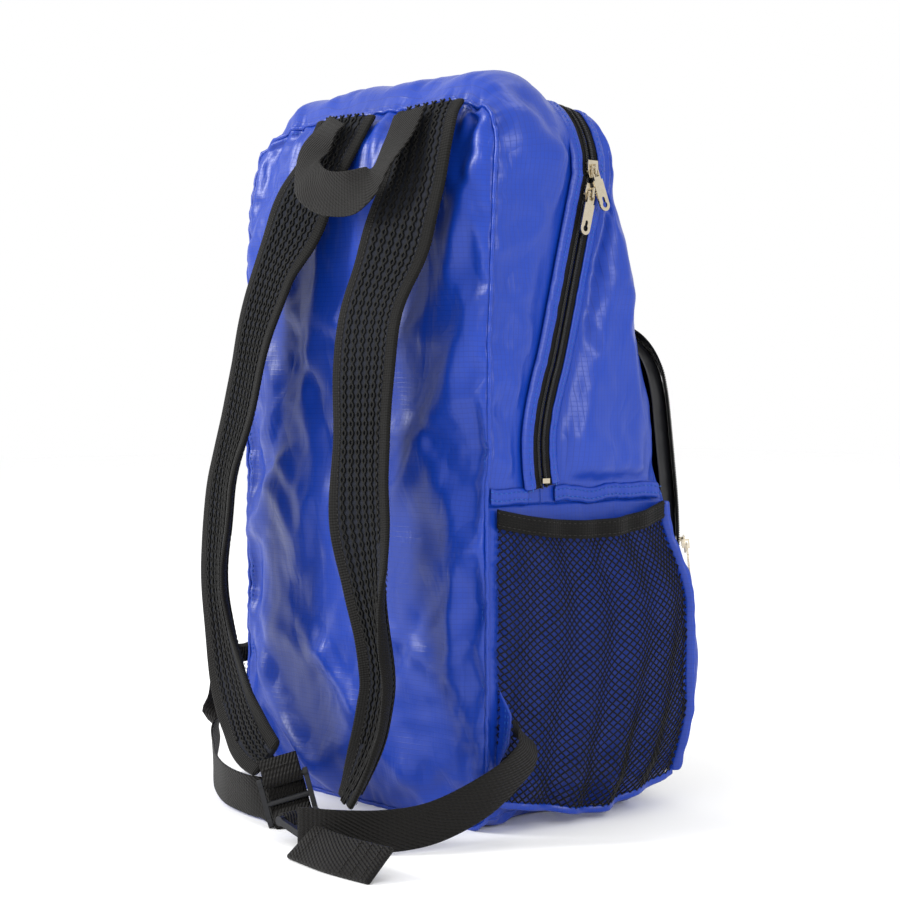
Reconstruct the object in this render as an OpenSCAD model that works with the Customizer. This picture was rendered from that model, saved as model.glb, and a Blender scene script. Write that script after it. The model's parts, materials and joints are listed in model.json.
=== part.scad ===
/* [Pack body] */
// Height of the pack body, floor to the top seam
body_h = 456; // [420:2:500]
// Width across the back panel
body_w = 250; // [236:2:264]
// Thickness that stands for one wall of sewn fabric
wall = 2.5; // [2:0.5:4]
// Height of the seam where the side pockets start
pocket_seam_z = 200; // [190:1:206]

/* [Front pocket] */
// How far the front pocket stands out from the front panel
pocket_depth = 24; // [20:1:30]
// Height of the top of the front pocket
pocket_top = 308; // [296:1:316]

/* [Side pockets] */
// Bulge of each mesh pocket away from the side panel
mesh_bulge = 16; // [14:1:18]
// Width of the elastic binding along the top of a mesh pocket
elastic_w = 12; // [8:1:14]

/* [Straps] */
// Width of the adjustment webbing
webbing_w = 25; // [20:1:25]
// Width of the haul loop webbing
haul_w = 28; // [22:1:30]
// Thickness of a shoulder strap pad
pad_t = 5; // [3:0.5:6]
// Width of the binding folded over each edge of a strap
binding_w = 9; // [6:1:12]

/* [Zips] */
// Width of a zip tape, both halves together
tape_w = 26; // [24:1:28]
// Length of a slider body
slider_len = 11; // [10:0.5:12]
// Length of a pull tab, from its pivot
pull_len = 27; // [24:1:30]

/* [Hidden] */
$fn = 48;

half_w = body_w / 2;
back_y = -75;
corner_top = 50;
corner_bottom = 25;
gap = 0.4;

blue = "#2433b8";
dark = "#1b1a18";
plastic = "#2a2b2e";
nickel = "#cfc8b8";

// Distance of each wall from the plane of the back, by height
back_keys = [[0, 4], [30, 0], [300, 0], [400, 4], [body_h, 12]];
front_keys = [[0, 142], [30, 158], [60, 166], [110, 168], [160, 164], [260, 150],
              [307, 139], [371, 127], [410, 114], [440, 100], [body_h, 70]];
top_keys = [[-20, body_h], [52, body_h], [66, body_h - 8], [99, body_h - 8], [108, body_h - 16],
            [260, body_h - 30]];
front_top = 440;

// Main zip in side view: straight from zip_low to zip_high, where the lower slider travels
zip_low = 292;
zip_high = 398;
zip_top_y = 84;
zip_foot_y = 45;
zip_keys = [[0, zip_foot_y], [207, zip_foot_y], [222, 42.5], [240, 42], [262, 46], [zip_low, 56],
            [zip_high, 83.5], [zip_high + 4, zip_top_y], [body_h + 20, zip_top_y]];
zip_gap = 8;
zip_lean = atan2(27.5, zip_high - zip_low);
slit = 1;
coil_w = 2.2;
coil_rise = [1.2, 2.5];
band_t = 1.2;
band_w = 7;
arc_z = body_h - corner_top;
arc_x = half_w - corner_top;

function unit(v) = v / norm(v);
function back_at(z) = lookup(z, back_keys);
function front_at(z) = lookup(z, front_keys);
function zip_at(z) = lookup(z, zip_keys);
function out(x, away, z) = [x, back_y - away, z];

function blend4(a, b, c, d, t) =
    0.5 * (2 * b + (c - a) * t + (2 * a - 5 * b + 4 * c - d) * t * t
           + (3 * b - a - 3 * c + d) * t * t * t);
function smooth(list, steps) =
    let (last = len(list) - 1)
    concat([for (i = [0:last - 1], k = [0:steps - 1])
                blend4(list[max(i - 1, 0)], list[i], list[i + 1], list[min(i + 2, last)], k / steps)],
           [list[last]]);
// A route is a list of [point, width, direction across]; this one runs smoothly through it
function eased(route, steps = 3) =
    let (p = smooth([for (r = route) r[0]], steps),
         w = smooth([for (r = route) r[1]], steps),
         a = smooth([for (r = route) r[2]], steps))
    [for (i = [0:len(p) - 1]) [p[i], w[i], a[i]]];
function along(route, i) =
    unit(route[min(i + 1, len(route) - 1)][0] - route[max(i - 1, 0)][0]);

// Flat strip swept along a route. Each side edge is [share of the half width, extra mm],
// and rise is the span of its thickness along the route's outward normal
module strip(route, low, high, rise) {
    n = len(route);
    rings = [for (i = [0:n - 1])
        let (t = along(route, i),
             a = route[i][2],
             s = unit(a - t * (a * t)),
             up = cross(t, s),
             h = route[i][1] / 2,
             e0 = low[0] * h + low[1],
             e1 = high[0] * h + high[1])
        each [route[i][0] + s * e1 + up * rise[1], route[i][0] + s * e0 + up * rise[1],
              route[i][0] + s * e0 + up * rise[0], route[i][0] + s * e1 + up * rise[0]]];
    walls = [for (i = [0:n - 2], j = [0:3])
        let (a = 4 * i + j, b = 4 * i + (j + 1) % 4)
        each [[a, a + 4, b + 4], [a, b + 4, b]]];
    end = 4 * (n - 1);
    caps = [[0, 1, 2], [0, 2, 3], [end + 2, end + 1, end], [end + 3, end + 2, end]];
    polyhedron(rings, concat(walls, caps));
}

// ---- Pack body ----

// Prism along X of an outline drawn as [distance from the back plane, height]
module side_prism(points, width = 400) {
    translate([-width / 2, back_y, 0])
        rotate([90, 0, 90])
            linear_extrude(width) polygon(points);
}

// Slab between two walls given by height, each moved by its own amount
module slab(low_keys, low_by, high_keys, high_by, z0, z1) {
    low = [for (k = low_keys) if (k[0] > z0 && k[0] < z1) k[0]];
    high = [for (k = high_keys) if (k[0] > z0 && k[0] < z1) k[0]];
    up = concat([z0], low, [z1]);
    down = concat([z1], [for (i = [len(high) - 1:-1:0]) high[i]], [z0]);
    side_prism(concat([for (z = up) [lookup(z, low_keys) + low_by, z]],
                      [for (z = down) [lookup(z, high_keys) + high_by, z]]));
}

module under_top(inset) {
    side_prism(concat([for (k = top_keys) [k[0], k[1] - inset]], [[260, inset], [-20, inset]]));
}

// Outline of the back panel, with large round corners at the top
module outline(inset, w = half_w, h0 = 0, h1 = body_h, rt = corner_top, rb = corner_bottom) {
    x = w - inset;
    t = rt - inset;
    b = rb - inset;
    translate([-x, h0 + rb]) square([2 * x, h1 - h0 - rt - rb]);
    translate([-w + rt, h0 + inset]) square([2 * (w - rt), h1 - h0 - 2 * inset]);
    translate([-w + rb, h0 + inset]) square([2 * (w - rb), rb]);
    for (s = [-1, 1]) {
        translate([s * (w - rt), h1 - rt]) circle(t);
        translate([s * (w - rb), h0 + rb]) circle(b);
    }
}

module outline_prism(inset = 0, w = half_w, h0 = 0, h1 = body_h, rt = corner_top,
                     rb = corner_bottom) {
    translate([0, 250, 0])
        rotate([90, 0, 0])
            linear_extrude(500) outline(inset, w, h0, h1, rt, rb);
}

module body_solid(inset) {
    intersection() {
        slab(back_keys, inset, front_keys, -inset, 0, body_h);
        under_top(inset);
        outline_prism(inset);
    }
}

module shell() {
    difference() {
        body_solid(0);
        body_solid(wall);
    }
}

// Slice of the shell between two heights and between the back wall and the front wall
module shell_part(low_keys, low_by, high_keys, high_by, z0, z1) {
    intersection() {
        shell();
        slab(low_keys, low_by, high_keys, high_by, z0, z1);
    }
}

module back_panel() {
    color(blue) intersection() {
        body_solid(0);
        slab(back_keys, -30, back_keys, wall, -1, body_h + 1);
    }
}

module front_panel() {
    color(blue) intersection() {
        body_solid(0);
        slab(front_keys, -wall, front_keys, 60, -1, front_top);
    }
}

module bottom_panel() {
    color(blue) shell_part(back_keys, wall, front_keys, -wall, 0, wall);
}

module side_panel(side) {
    color(blue) intersection() {
        difference() {
            outline_prism(0);
            outline_prism(wall);
        }
        slab(back_keys, wall, front_keys, -wall, wall + gap, pocket_seam_z);
        translate([side > 0 ? 20 : -320, -200, 0]) cube([300, 500, body_h]);
    }
}

module rear_gusset() {
    color(blue) shell_part(back_keys, wall, zip_keys, -zip_gap, pocket_seam_z, body_h);
}

module front_gusset() {
    color(blue) intersection() {
        difference() {
            body_solid(0);
            body_solid(wall);
            slab(front_keys, -wall, front_keys, 60, -1, front_top);
        }
        slab(zip_keys, zip_gap, [[0, 260], [500, 260]], 0, pocket_seam_z, body_h);
    }
}

// Folded and double-stitched band over the side seam
module seam_band(side) {
    color(blue)
        for (y = [[wall + 1, zip_foot_y - tape_w / 2 - 1.5], [zip_foot_y + tape_w / 2 + 1.5, 150]])
            translate([side * (half_w + band_t / 2) - band_t / 2, back_y + y[0], pocket_seam_z + 1])
                cube([band_t, y[1] - y[0], band_w]);
}

// Raised seam round the back panel
module back_piping() {
    color(blue) intersection() {
        difference() {
            outline_prism(-1.5);
            outline_prism(0);
        }
        slab(back_keys, 0.5, back_keys, 3.5, 20, body_h + 5);
    }
}

// ---- Zips ----

main_zip_side = [209, 215, 225, 240, 258, 275, zip_low, 345, zip_high, 402];
main_zip_arc = [for (a = [0:6:54]) a];
top_rise = [arc_x + corner_top * cos(57), body_h - 8];
main_zip_half = concat(
    [for (z = main_zip_side) [half_w, back_y + zip_at(z), z]],
    [for (a = main_zip_arc)
        [arc_x + corner_top * cos(a), back_y + zip_top_y, arc_z + corner_top * sin(a)]],
    [[top_rise[0], back_y + zip_top_y, top_rise[1]]]);
main_zip_points = concat(main_zip_half,
    [for (i = [len(main_zip_half) - 1:-1:0])
        [-main_zip_half[i][0], main_zip_half[i][1], main_zip_half[i][2]]]);
main_zip = [for (p = main_zip_points) [p, tape_w, [0, -1, 0]]];

// Both halves of a zip tape, with the slit that the slider's post runs in
module tape(route) {
    strip(route, [-1, 0], [0, -slit], [0.05, 1]);
    strip(route, [0, slit], [1, 0], [0.05, 1]);
}

module coil(route) {
    strip(route, [0, -slit - coil_w], [0, -slit], coil_rise);
    strip(route, [0, slit], [0, slit + coil_w], coil_rise);
}

module main_zip_tape() {
    color(dark) tape(main_zip);
}

module main_zip_coil() {
    color(dark) coil(main_zip);
}

module main_zip_stops() {
    color(nickel)
        for (s = [-1, 1])
            translate([s * (half_w + coil_rise[1] + 0.9), back_y + zip_at(213), 213])
                cube([1.3, 6, 3], center = true);
}

// Slider: local X points away from the zip, Z runs along it
plate_x0 = 2.8;
plate_t = 1.2;
pivot_x = 4.95;
bar_r = 0.6;
bail_reach = 2.6;

module slider() {
    color(nickel) {
        for (x = [plate_x0, -1.8])
            translate([x, 0, 0])
                rotate([90, 0, 90])
                    linear_extrude(plate_t)
                        polygon([[-3, -slider_len / 2], [3, -slider_len / 2], [4.6, 0],
                                 [4.2, slider_len / 2], [-4.2, slider_len / 2], [-4.6, 0]]);
        translate([-0.7, -0.7, 2]) cube([4, 1.4, 3]);
        for (s = [-1, 1])
            translate([1.5, s * 4 - 0.4, -2]) cube([1.5, 0.8, 6]);
        for (s = [-1, 1])
            translate([plate_x0 + plate_t - 0.1, -0.7, s * bail_reach - 0.5]) cube([2.9, 1.4, 1]);
        translate([5.9, -0.7, -bail_reach - 0.5]) cube([0.9, 1.4, 2 * bail_reach + 1]);
    }
}

// Pull tab hanging from a slider, turned sideways by swing and lifted by tilt
module pull(swing = 0, tilt = 0) {
    color(nickel)
        translate([pivot_x, 0, 0])
            rotate([swing, 0, 0])
                rotate([0, -tilt, 0]) {
                    rotate([90, 0, 0]) cylinder(r = bar_r, h = 5.2, center = true);
                    translate([-bar_r, 0, 0])
                        rotate([90, 0, 90])
                            linear_extrude(2 * bar_r) difference() {
                                union() {
                                    translate([-2.8, -9]) square([5.6, 9]);
                                    translate([-4, -pull_len + 4]) square([8, pull_len - 11]);
                                    translate([0, -pull_len + 4]) circle(4);
                                }
                                translate([-1.9, -5]) square([3.8, 5 - bar_r]);
                                translate([-3, -bar_r + 0.01]) square([6, 2]);
                                translate([-1.1, -pull_len + 4]) square([2.2, 4]);
                                translate([0, -pull_len + 4]) circle(1.9);
                                translate([0, -pull_len + 8]) circle(1.1);
                            }
                }
}

lower_z = 391;
upper_z = arc_z;

module on_side(z, lean) {
    translate([half_w, back_y + zip_at(z), z]) rotate([-lean, 0, 0]) children();
}

module slider_upper() {
    on_side(upper_z, 0) slider();
}

module pull_upper() {
    on_side(upper_z, 0) pull(swing = 16, tilt = 7);
}

module slider_lower() {
    on_side(lower_z, zip_lean) slider();
}

module pull_lower() {
    on_side(lower_z, zip_lean) pull();
}

// ---- Side mesh pockets ----

mesh_z0 = 8;
mesh_z1 = pocket_seam_z - 2;
mesh_y0 = 12;
mesh_y1 = 152;
mesh_mid = back_y + (mesh_y0 + mesh_y1) / 2;
mesh_r = (pow((mesh_y1 - mesh_y0) / 2, 2) + pow(mesh_bulge, 2)) / (2 * mesh_bulge);

// Vertical wall bowed out from the side panel
module bowed_wall(side, z0, z1, grow, thick) {
    intersection() {
        translate([side * (half_w + mesh_bulge - mesh_r), mesh_mid, z0])
            difference() {
                cylinder(r = mesh_r + grow, h = z1 - z0, $fn = 96);
                translate([0, 0, -1]) cylinder(r = mesh_r + grow - thick, h = z1 - z0 + 2, $fn = 96);
            }
        translate([side > 0 ? half_w + 0.1 : -half_w - 0.1 - 60, -100, z0]) cube([60, 250, z1 - z0]);
    }
}

module mesh_pocket(side) {
    color(dark) {
        bowed_wall(side, mesh_z0, mesh_z1 - elastic_w, 0, 2);
        intersection() {
            translate([side * (half_w + mesh_bulge - mesh_r), mesh_mid, mesh_z0])
                cylinder(r = mesh_r - 1, h = 2, $fn = 96);
            translate([side > 0 ? half_w + 0.1 : -half_w - 0.1 - 60, -100, mesh_z0])
                cube([60, 250, 2]);
        }
    }
}

module pocket_elastic(side) {
    color(dark) bowed_wall(side, mesh_z1 - elastic_w, mesh_z1, 0.5, 3);
}

// ---- Front pocket ----

bevel = 10;
pocket_w = 118;
pocket_z0 = 14;
pocket_r = 34;
pocket_r_low = 20;
pocket_t = 2;
// Below this height the face turns back to the gusset, and above it the zip closes them
pocket_foot = 100;

// Slice that follows the front panel, from one distance in front of it to another
module front_layer(near, far) {
    slab(front_keys, near, front_keys, far, pocket_z0 - 1, pocket_top + 1);
}

module front_pocket_gusset() {
    color(dark) intersection() {
        front_layer(0.05, pocket_depth - bevel);
        difference() {
            outline_prism(0, pocket_w, pocket_z0, pocket_top, pocket_r, pocket_r_low);
            outline_prism(pocket_t, pocket_w, pocket_z0, pocket_top, pocket_r, pocket_r_low);
        }
    }
}

module front_pocket_face() {
    color(dark) {
        intersection() {
            front_layer(pocket_depth - pocket_t, pocket_depth);
            outline_prism(bevel, pocket_w, pocket_z0, pocket_top, pocket_r, pocket_r_low);
        }
        intersection() {
            front_layer(pocket_depth - bevel, pocket_depth - pocket_t);
            difference() {
                outline_prism(0, pocket_w - 4, pocket_z0, pocket_foot + 10, 10, pocket_r_low);
                outline_prism(pocket_t, pocket_w - 4, pocket_z0, pocket_foot + 10, 10, pocket_r_low);
                translate([-200, -200, pocket_foot]) cube([400, 500, 60]);
            }
        }
    }
}

// Line of the front zip: up one side, over the top and down the other
front_zip_x = pocket_w - bevel / 2;
front_zip_top = pocket_top - bevel / 2;
front_zip_r = pocket_r - bevel / 2;
function front_zip_point(x, z) = [x, back_y + front_at(z) + pocket_depth - bevel / 2, z];
front_zip_half = concat(
    [for (z = [pocket_foot + 12, 160, 260]) [front_zip_x, z, 0]],
    [for (a = [0:15:90])
        [front_zip_x - front_zip_r + front_zip_r * cos(a),
         front_zip_top - front_zip_r + front_zip_r * sin(a), a]]);
front_zip_list = concat(front_zip_half,
    [for (i = [len(front_zip_half) - 1:-1:0])
        [-front_zip_half[i][0], front_zip_half[i][1], 180 - front_zip_half[i][2]]]);
front_zip = [for (f = front_zip_list)
    [front_zip_point(f[0], f[1]), 14, [cos(f[2]), -1, sin(f[2])]]];
front_lean = atan2(14, 100);
front_slider_z = 166;

module front_zip_tape() {
    color(dark) tape(front_zip);
}

module front_zip_coil() {
    color(dark) coil(front_zip);
}

module on_front_zip(z) {
    translate(front_zip_point(front_zip_x, z))
        rotate([0, 0, 45])
            rotate([front_lean * 0.707, front_lean * -0.707, 0]) children();
}

module front_slider() {
    on_front_zip(front_slider_z) slider();
}

module front_pull() {
    on_front_zip(front_slider_z) pull();
}

// ---- Shoulder straps ----

x_axis = [1, 0, 0];

// Each strap runs from the top seam, bows away from the back and drops to its buckle
root_right = [
    [out(66, -5, 445), 62, x_axis],
    [out(67, 1, 434), 62, x_axis],
    [out(72, 9, 415), 62, x_axis],
    [out(74, 17, 393), 62, x_axis],
    [out(71, 24, 372), 62, x_axis]];
pad_right = [
    [out(70.8, 24.5, 369.6), 62, x_axis],
    [out(66, 29, 346), 62, x_axis],
    [out(61, 37, 316), 60, x_axis],
    [out(61, 43, 281), 58, x_axis],
    [out(62, 46, 246), 56, x_axis],
    [out(63, 47, 214), 55, x_axis],
    [out(65, 47, 184), 54, x_axis],
    [out(71, 46, 153), 50, [1, -0.1, 0]],
    [out(81, 46, 122), 46, [1, -0.3, 0]],
    [out(89, 49, 96), 44, [1, -0.35, 0]],
    [out(93, 56, 77), 42, [1, -0.3, 0]],
    [out(96, 65, 58), 38, [1, -0.25, 0]],
    [out(95, 75, 39), 32, [1, -0.25, 0.1]],
    [out(91, 81, 25), 26, [1, -0.3, 0.1]]];
root_left = [
    [out(-18, -5, 446), 62, x_axis],
    [out(-19, 1, 435), 62, x_axis],
    [out(-24, 8, 417), 62, x_axis],
    [out(-31, 15, 398), 62, x_axis],
    [out(-41, 21, 374), 62, x_axis]];
pad_left = [
    [out(-43.3, 22.3, 368.5), 62, x_axis],
    [out(-52, 27, 348), 60, [1, -0.12, 0]],
    [out(-60, 34, 314), 58, [1, -0.22, 0]],
    [out(-65, 40, 280), 56, [1, -0.26, 0]],
    [out(-72, 43, 250), 55, [1, -0.3, 0]],
    [out(-80, 45, 222), 54, [1, -0.33, 0]],
    [out(-86, 46, 196), 54, [1, -0.33, 0]],
    [out(-90, 46, 156), 52, [1, -0.33, 0]],
    [out(-84, 47, 118), 50, [1, -0.33, 0]],
    [out(-66, 54, 85), 48, [1, -0.2, 0.1]],
    [out(-37, 64, 60), 42, [1, -0.1, 0.4]],
    [out(-12, 73, 46), 34, [0.8, 0.2, 0.6]],
    [out(8, 78, 39), 26, [0.7, 0.4, 0.7]]];

module strap_root(route) {
    color(dark) strip(eased(route), [-1, 0], [1, 0], [-pad_t / 2, pad_t / 2]);
}

module strap_pad(route) {
    color(dark) strip(eased(route), [-1, binding_w], [1, -binding_w], [-pad_t / 2, pad_t / 2]);
}

module strap_binding(route) {
    color(dark) {
        strip(eased(route), [-1, 0], [-1, binding_w - 0.05], [-pad_t / 2 - 0.4, pad_t / 2 + 0.4]);
        strip(eased(route), [1, -binding_w + 0.05], [1, 0], [-pad_t / 2 - 0.4, pad_t / 2 + 0.4]);
    }
}

// ---- Ladder locks and webbing ----

lock_w = 32;
lock_len = 30;
lock_t = 4;

// Frame of a ladder lock: two side rails and three round cross bars, length along X
module ladder_lock() {
    color(plastic) {
        for (s = [-1, 1]) {
            translate([-lock_len / 2 + 3, s * (lock_w / 2 - 1.5) - 1.5, -lock_t / 2])
                cube([lock_len - 6, 3, lock_t]);
            for (e = [-1, 1])
                translate([e * (lock_len / 2 - 3), s * (lock_w / 2 - 1.5), 0])
                    rotate([90, 0, 0])
                        cylinder(r = 3, h = 3, center = true);
        }
        for (x = [-12, 1, 12])
            translate([x, 0, 0])
                rotate([90, 0, 0])
                    cylinder(r = 1.8, h = lock_w - 5.9, center = true);
    }
}

lock_left_at = out(24, 75, 18);
lock_right_at = out(64, 87, 9);

module lock_left_frame() {
    translate(lock_left_at) rotate([0, 80, -41]) rotate([0, 0, 16]) children();
}

module lock_right_frame() {
    translate(lock_right_at) rotate([0, -17, 186]) children();
}

module ladder_lock_left() {
    lock_left_frame() ladder_lock();
}

module ladder_lock_right() {
    lock_right_frame() ladder_lock();
}

// Short webbing loop that holds the upper bar of a ladder lock
module buckle_loop() {
    color(dark)
        for (z = [2.1, -3.3])
            translate([-22, -12, z]) cube([12, 24, 1.2]);
}

module buckle_loop_left() {
    lock_left_frame() buckle_loop();
}

module buckle_loop_right() {
    lock_right_frame() buckle_loop();
}

up = [0, 0, 1];
web_right = [
    [out(80, 109, 13.5), webbing_w, up],
    [out(102, 97, 13.5), webbing_w, up],
    [out(120, 76, 13.5), webbing_w, up],
    [out(130, 50, 16), webbing_w, up],
    [out(139, 24, 26), webbing_w, [0.1, 0, 1]],
    [out(147, 4, 40), webbing_w, [0.3, -0.2, 1]],
    [out(150, -8, 52), webbing_w, [0.2, -0.6, 0.9]],
    [out(145, -12, 61), webbing_w, [0, -0.8, 0.7]],
    [out(137.5, -9, 66), webbing_w, [0, -0.7, 0.7]]];
web_left = [
    [out(4, 74, 13), webbing_w, [0.1, 0.3, 0.95]],
    [out(-18, 76, 13.5), webbing_w, up],
    [out(-50, 70, 14), webbing_w, up],
    [out(-86, 53, 14), webbing_w, up],
    [out(-118, 33, 15), webbing_w, up],
    [out(-140, 18, 22), webbing_w, [-0.1, 0, 1]],
    [out(-150, 6, 44), webbing_w, [-0.2, 0.6, 1]],
    [out(-152, 0, 66), webbing_w, [0, 0.9, 0.5]],
    [out(-150, -4, 84), webbing_w, [0, 1, 0.1]],
    [out(-144, -8, 88), webbing_w, [0, 1, 0]],
    [out(-137.5, -9, 78), webbing_w, [0, 0.9, 0.4]]];
tail_right = [
    [out(92, 115, 8.5), webbing_w, [0.1, 0.75, 0.62]],
    [out(130, 119, 8.5), webbing_w, [0.1, 0.75, 0.62]],
    [out(166, 117, 8.5), webbing_w, [0.1, 0.75, 0.62]]];

module webbing(route) {
    color(dark) strip(eased(route), [-1, 0], [1, 0], [-0.75, 0.75]);
}

// Folded and stitched end of the webbing beyond its ladder lock
module webbing_tail_right() {
    color(dark) strip(tail_right, [-1, 0], [1, 0], [-1.5, 1.5]);
}

module webbing_tail_left() {
    color(dark)
        lock_left_frame() translate([-8, -12, -6.4]) cube([22, 24, 2.6]);
}

// Triangle of doubled fabric sewn into the side seam, webbing in its sloped edge
module anchor_tab(side) {
    color(blue)
        translate([side * half_w, back_y + 9, 0])
            rotate([90, 0, 0])
                linear_extrude(2.4)
                    polygon([[side * 0.1, 42], [side * 10, 58], [side * 10, 74], [side * 0.1, 86]]);
}

// ---- Haul loop ----

haul_route = [
    [out(-12, 7.5, 442.6), haul_w, x_axis],
    [out(-16.5, 14, 434), haul_w, [0.9, 0.2, 0.35]],
    [out(-20, 22, 419), haul_w, [0.5, 0.5, 0.8]],
    [out(-13, 31, 404), haul_w, [-0.1, 0.4, 1]],
    [out(9, 36, 393), haul_w, [-0.15, 0.1, 1]],
    [out(36, 37, 390), haul_w, [0.1, 0, 1]],
    [out(56, 36, 395), haul_w, [-0.1, 0.4, 1]],
    [out(63, 30, 407), haul_w, [-0.7, 0.6, 0.6]],
    [out(63, 18, 424), haul_w, [-1, 0.2, 0.2]],
    [out(60, 7, 441), haul_w, [-1, 0, 0]]];

module haul_loop() {
    color(dark) strip(eased(haul_route), [-1, 0], [1, 0], [-0.75, 0.75]);
}

back_panel();
rear_gusset();
front_gusset();
front_panel();
bottom_panel();
side_panel(-1);  // side_panel_left
side_panel(1);  // side_panel_right
seam_band(-1);  // seam_band_left
seam_band(1);  // seam_band_right
back_piping();
main_zip_tape();
main_zip_coil();
main_zip_stops();
slider_upper();
pull_upper();
slider_lower();
pull_lower();
mesh_pocket(-1);  // mesh_pocket_left
mesh_pocket(1);  // mesh_pocket_right
pocket_elastic(-1);  // pocket_elastic_left
pocket_elastic(1);  // pocket_elastic_right
front_pocket_gusset();
front_pocket_face();
front_zip_tape();
front_zip_coil();
front_slider();
front_pull();
strap_root(root_left);  // strap_root_left
strap_root(root_right);  // strap_root_right
strap_pad(pad_left);  // strap_pad_left
strap_pad(pad_right);  // strap_pad_right
strap_binding(pad_left);  // strap_binding_left
strap_binding(pad_right);  // strap_binding_right
buckle_loop_left();
buckle_loop_right();
ladder_lock_left();
ladder_lock_right();
webbing(web_left);  // webbing_left
webbing(web_right);  // webbing_right
webbing_tail_left();
webbing_tail_right();
anchor_tab(-1);  // anchor_tab_left
anchor_tab(1);  // anchor_tab_right
haul_loop();
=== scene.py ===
import json
from math import atan2, cos, floor, pi, radians, sin, sqrt
import bmesh
import bpy
import numpy as np
from mathutils import Matrix, Vector, noise
from mathutils.kdtree import KDTree

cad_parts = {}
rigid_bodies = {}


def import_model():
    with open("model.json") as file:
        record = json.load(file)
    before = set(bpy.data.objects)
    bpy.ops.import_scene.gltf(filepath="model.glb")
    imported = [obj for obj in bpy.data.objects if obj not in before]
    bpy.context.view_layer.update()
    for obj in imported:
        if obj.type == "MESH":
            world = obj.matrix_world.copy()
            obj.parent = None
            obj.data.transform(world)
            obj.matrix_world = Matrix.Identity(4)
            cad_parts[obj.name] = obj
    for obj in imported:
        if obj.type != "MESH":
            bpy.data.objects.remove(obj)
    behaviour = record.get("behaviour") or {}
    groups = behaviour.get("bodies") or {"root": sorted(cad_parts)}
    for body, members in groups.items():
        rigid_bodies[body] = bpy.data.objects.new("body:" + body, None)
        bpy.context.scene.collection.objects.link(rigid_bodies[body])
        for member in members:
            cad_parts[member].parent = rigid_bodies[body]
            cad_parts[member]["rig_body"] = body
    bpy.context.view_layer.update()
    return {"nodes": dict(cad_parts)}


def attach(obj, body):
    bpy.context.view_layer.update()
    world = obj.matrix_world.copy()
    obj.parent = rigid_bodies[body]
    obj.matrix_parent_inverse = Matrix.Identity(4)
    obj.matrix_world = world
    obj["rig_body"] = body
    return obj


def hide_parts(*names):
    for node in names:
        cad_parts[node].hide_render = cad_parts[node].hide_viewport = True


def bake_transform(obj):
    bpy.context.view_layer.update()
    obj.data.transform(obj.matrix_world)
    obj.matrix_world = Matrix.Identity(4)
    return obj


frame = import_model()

mm = 0.001
scene = bpy.context.scene
nodes = frame["nodes"]
print("frame loaded:", len(nodes), "nodes")


def addNode(tree, kind, inputs=None, **settings):
    node = tree.nodes.new(kind)
    for name, value in settings.items():
        setattr(node, name, value)
    for key, value in (inputs or {}).items():
        if isinstance(value, bpy.types.NodeSocket):
            tree.links.new(value, node.inputs[key])
        else:
            node.inputs[key].default_value = value
    return node


def hexColour(code):   # sRGB hex to linear
    parts = [int(code[i:i + 2], 16) / 255 for i in (1, 3, 5)]
    return tuple(c / 12.92 if c <= 0.04045 else ((c + 0.055) / 1.055) ** 2.4 for c in parts) + (1,)


def newMaterial(name, **values):   # values are the shader's own plain sockets
    material = bpy.data.materials.new(name)
    material.use_nodes = True
    tree = material.node_tree
    shader = tree.nodes["Principled BSDF"]
    for key, value in values.items():
        shader.inputs[key.replace("_", " ")].default_value = value
    return material, tree, shader


def stripes(tree, along, pitch, width):   # 1 on a thin line every pitch mm, 0 between
    turn = addNode(tree, "ShaderNodeMath", {0: along, 1: 1 / pitch}, operation="MULTIPLY")
    part = addNode(tree, "ShaderNodeMath", {0: turn.outputs[0], 1: 0.5}, operation="PINGPONG")
    ramp = addNode(tree, "ShaderNodeMapRange", {0: part.outputs[0], 1: 0.0, 2: width / pitch, 3: 1.0, 4: 0.0})
    return ramp.outputs[0]


# Colours of the cloth, trims and metal, sRGB
colours = {
    "ripstop": "#0a3aa6", "ripstopShade": "#082f8e", "ripstopLine": "#0a2c84",
    "satin": "#0a0b10", "tape": "#0b0a09", "coil": "#060606", "alloy": "#d9cfba",
    "net": "#060608", "elastic": "#0b0a09", "airMesh": "#0a0a09", "foam": "#23252c",
    "binding": "#0c0b09", "webbing": "#0e0c0a", "acetal": "#121316",
    "blueThread": "#1450a8", "darkThread": "#1c1a18", "floor": "#fefefe",
}


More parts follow.
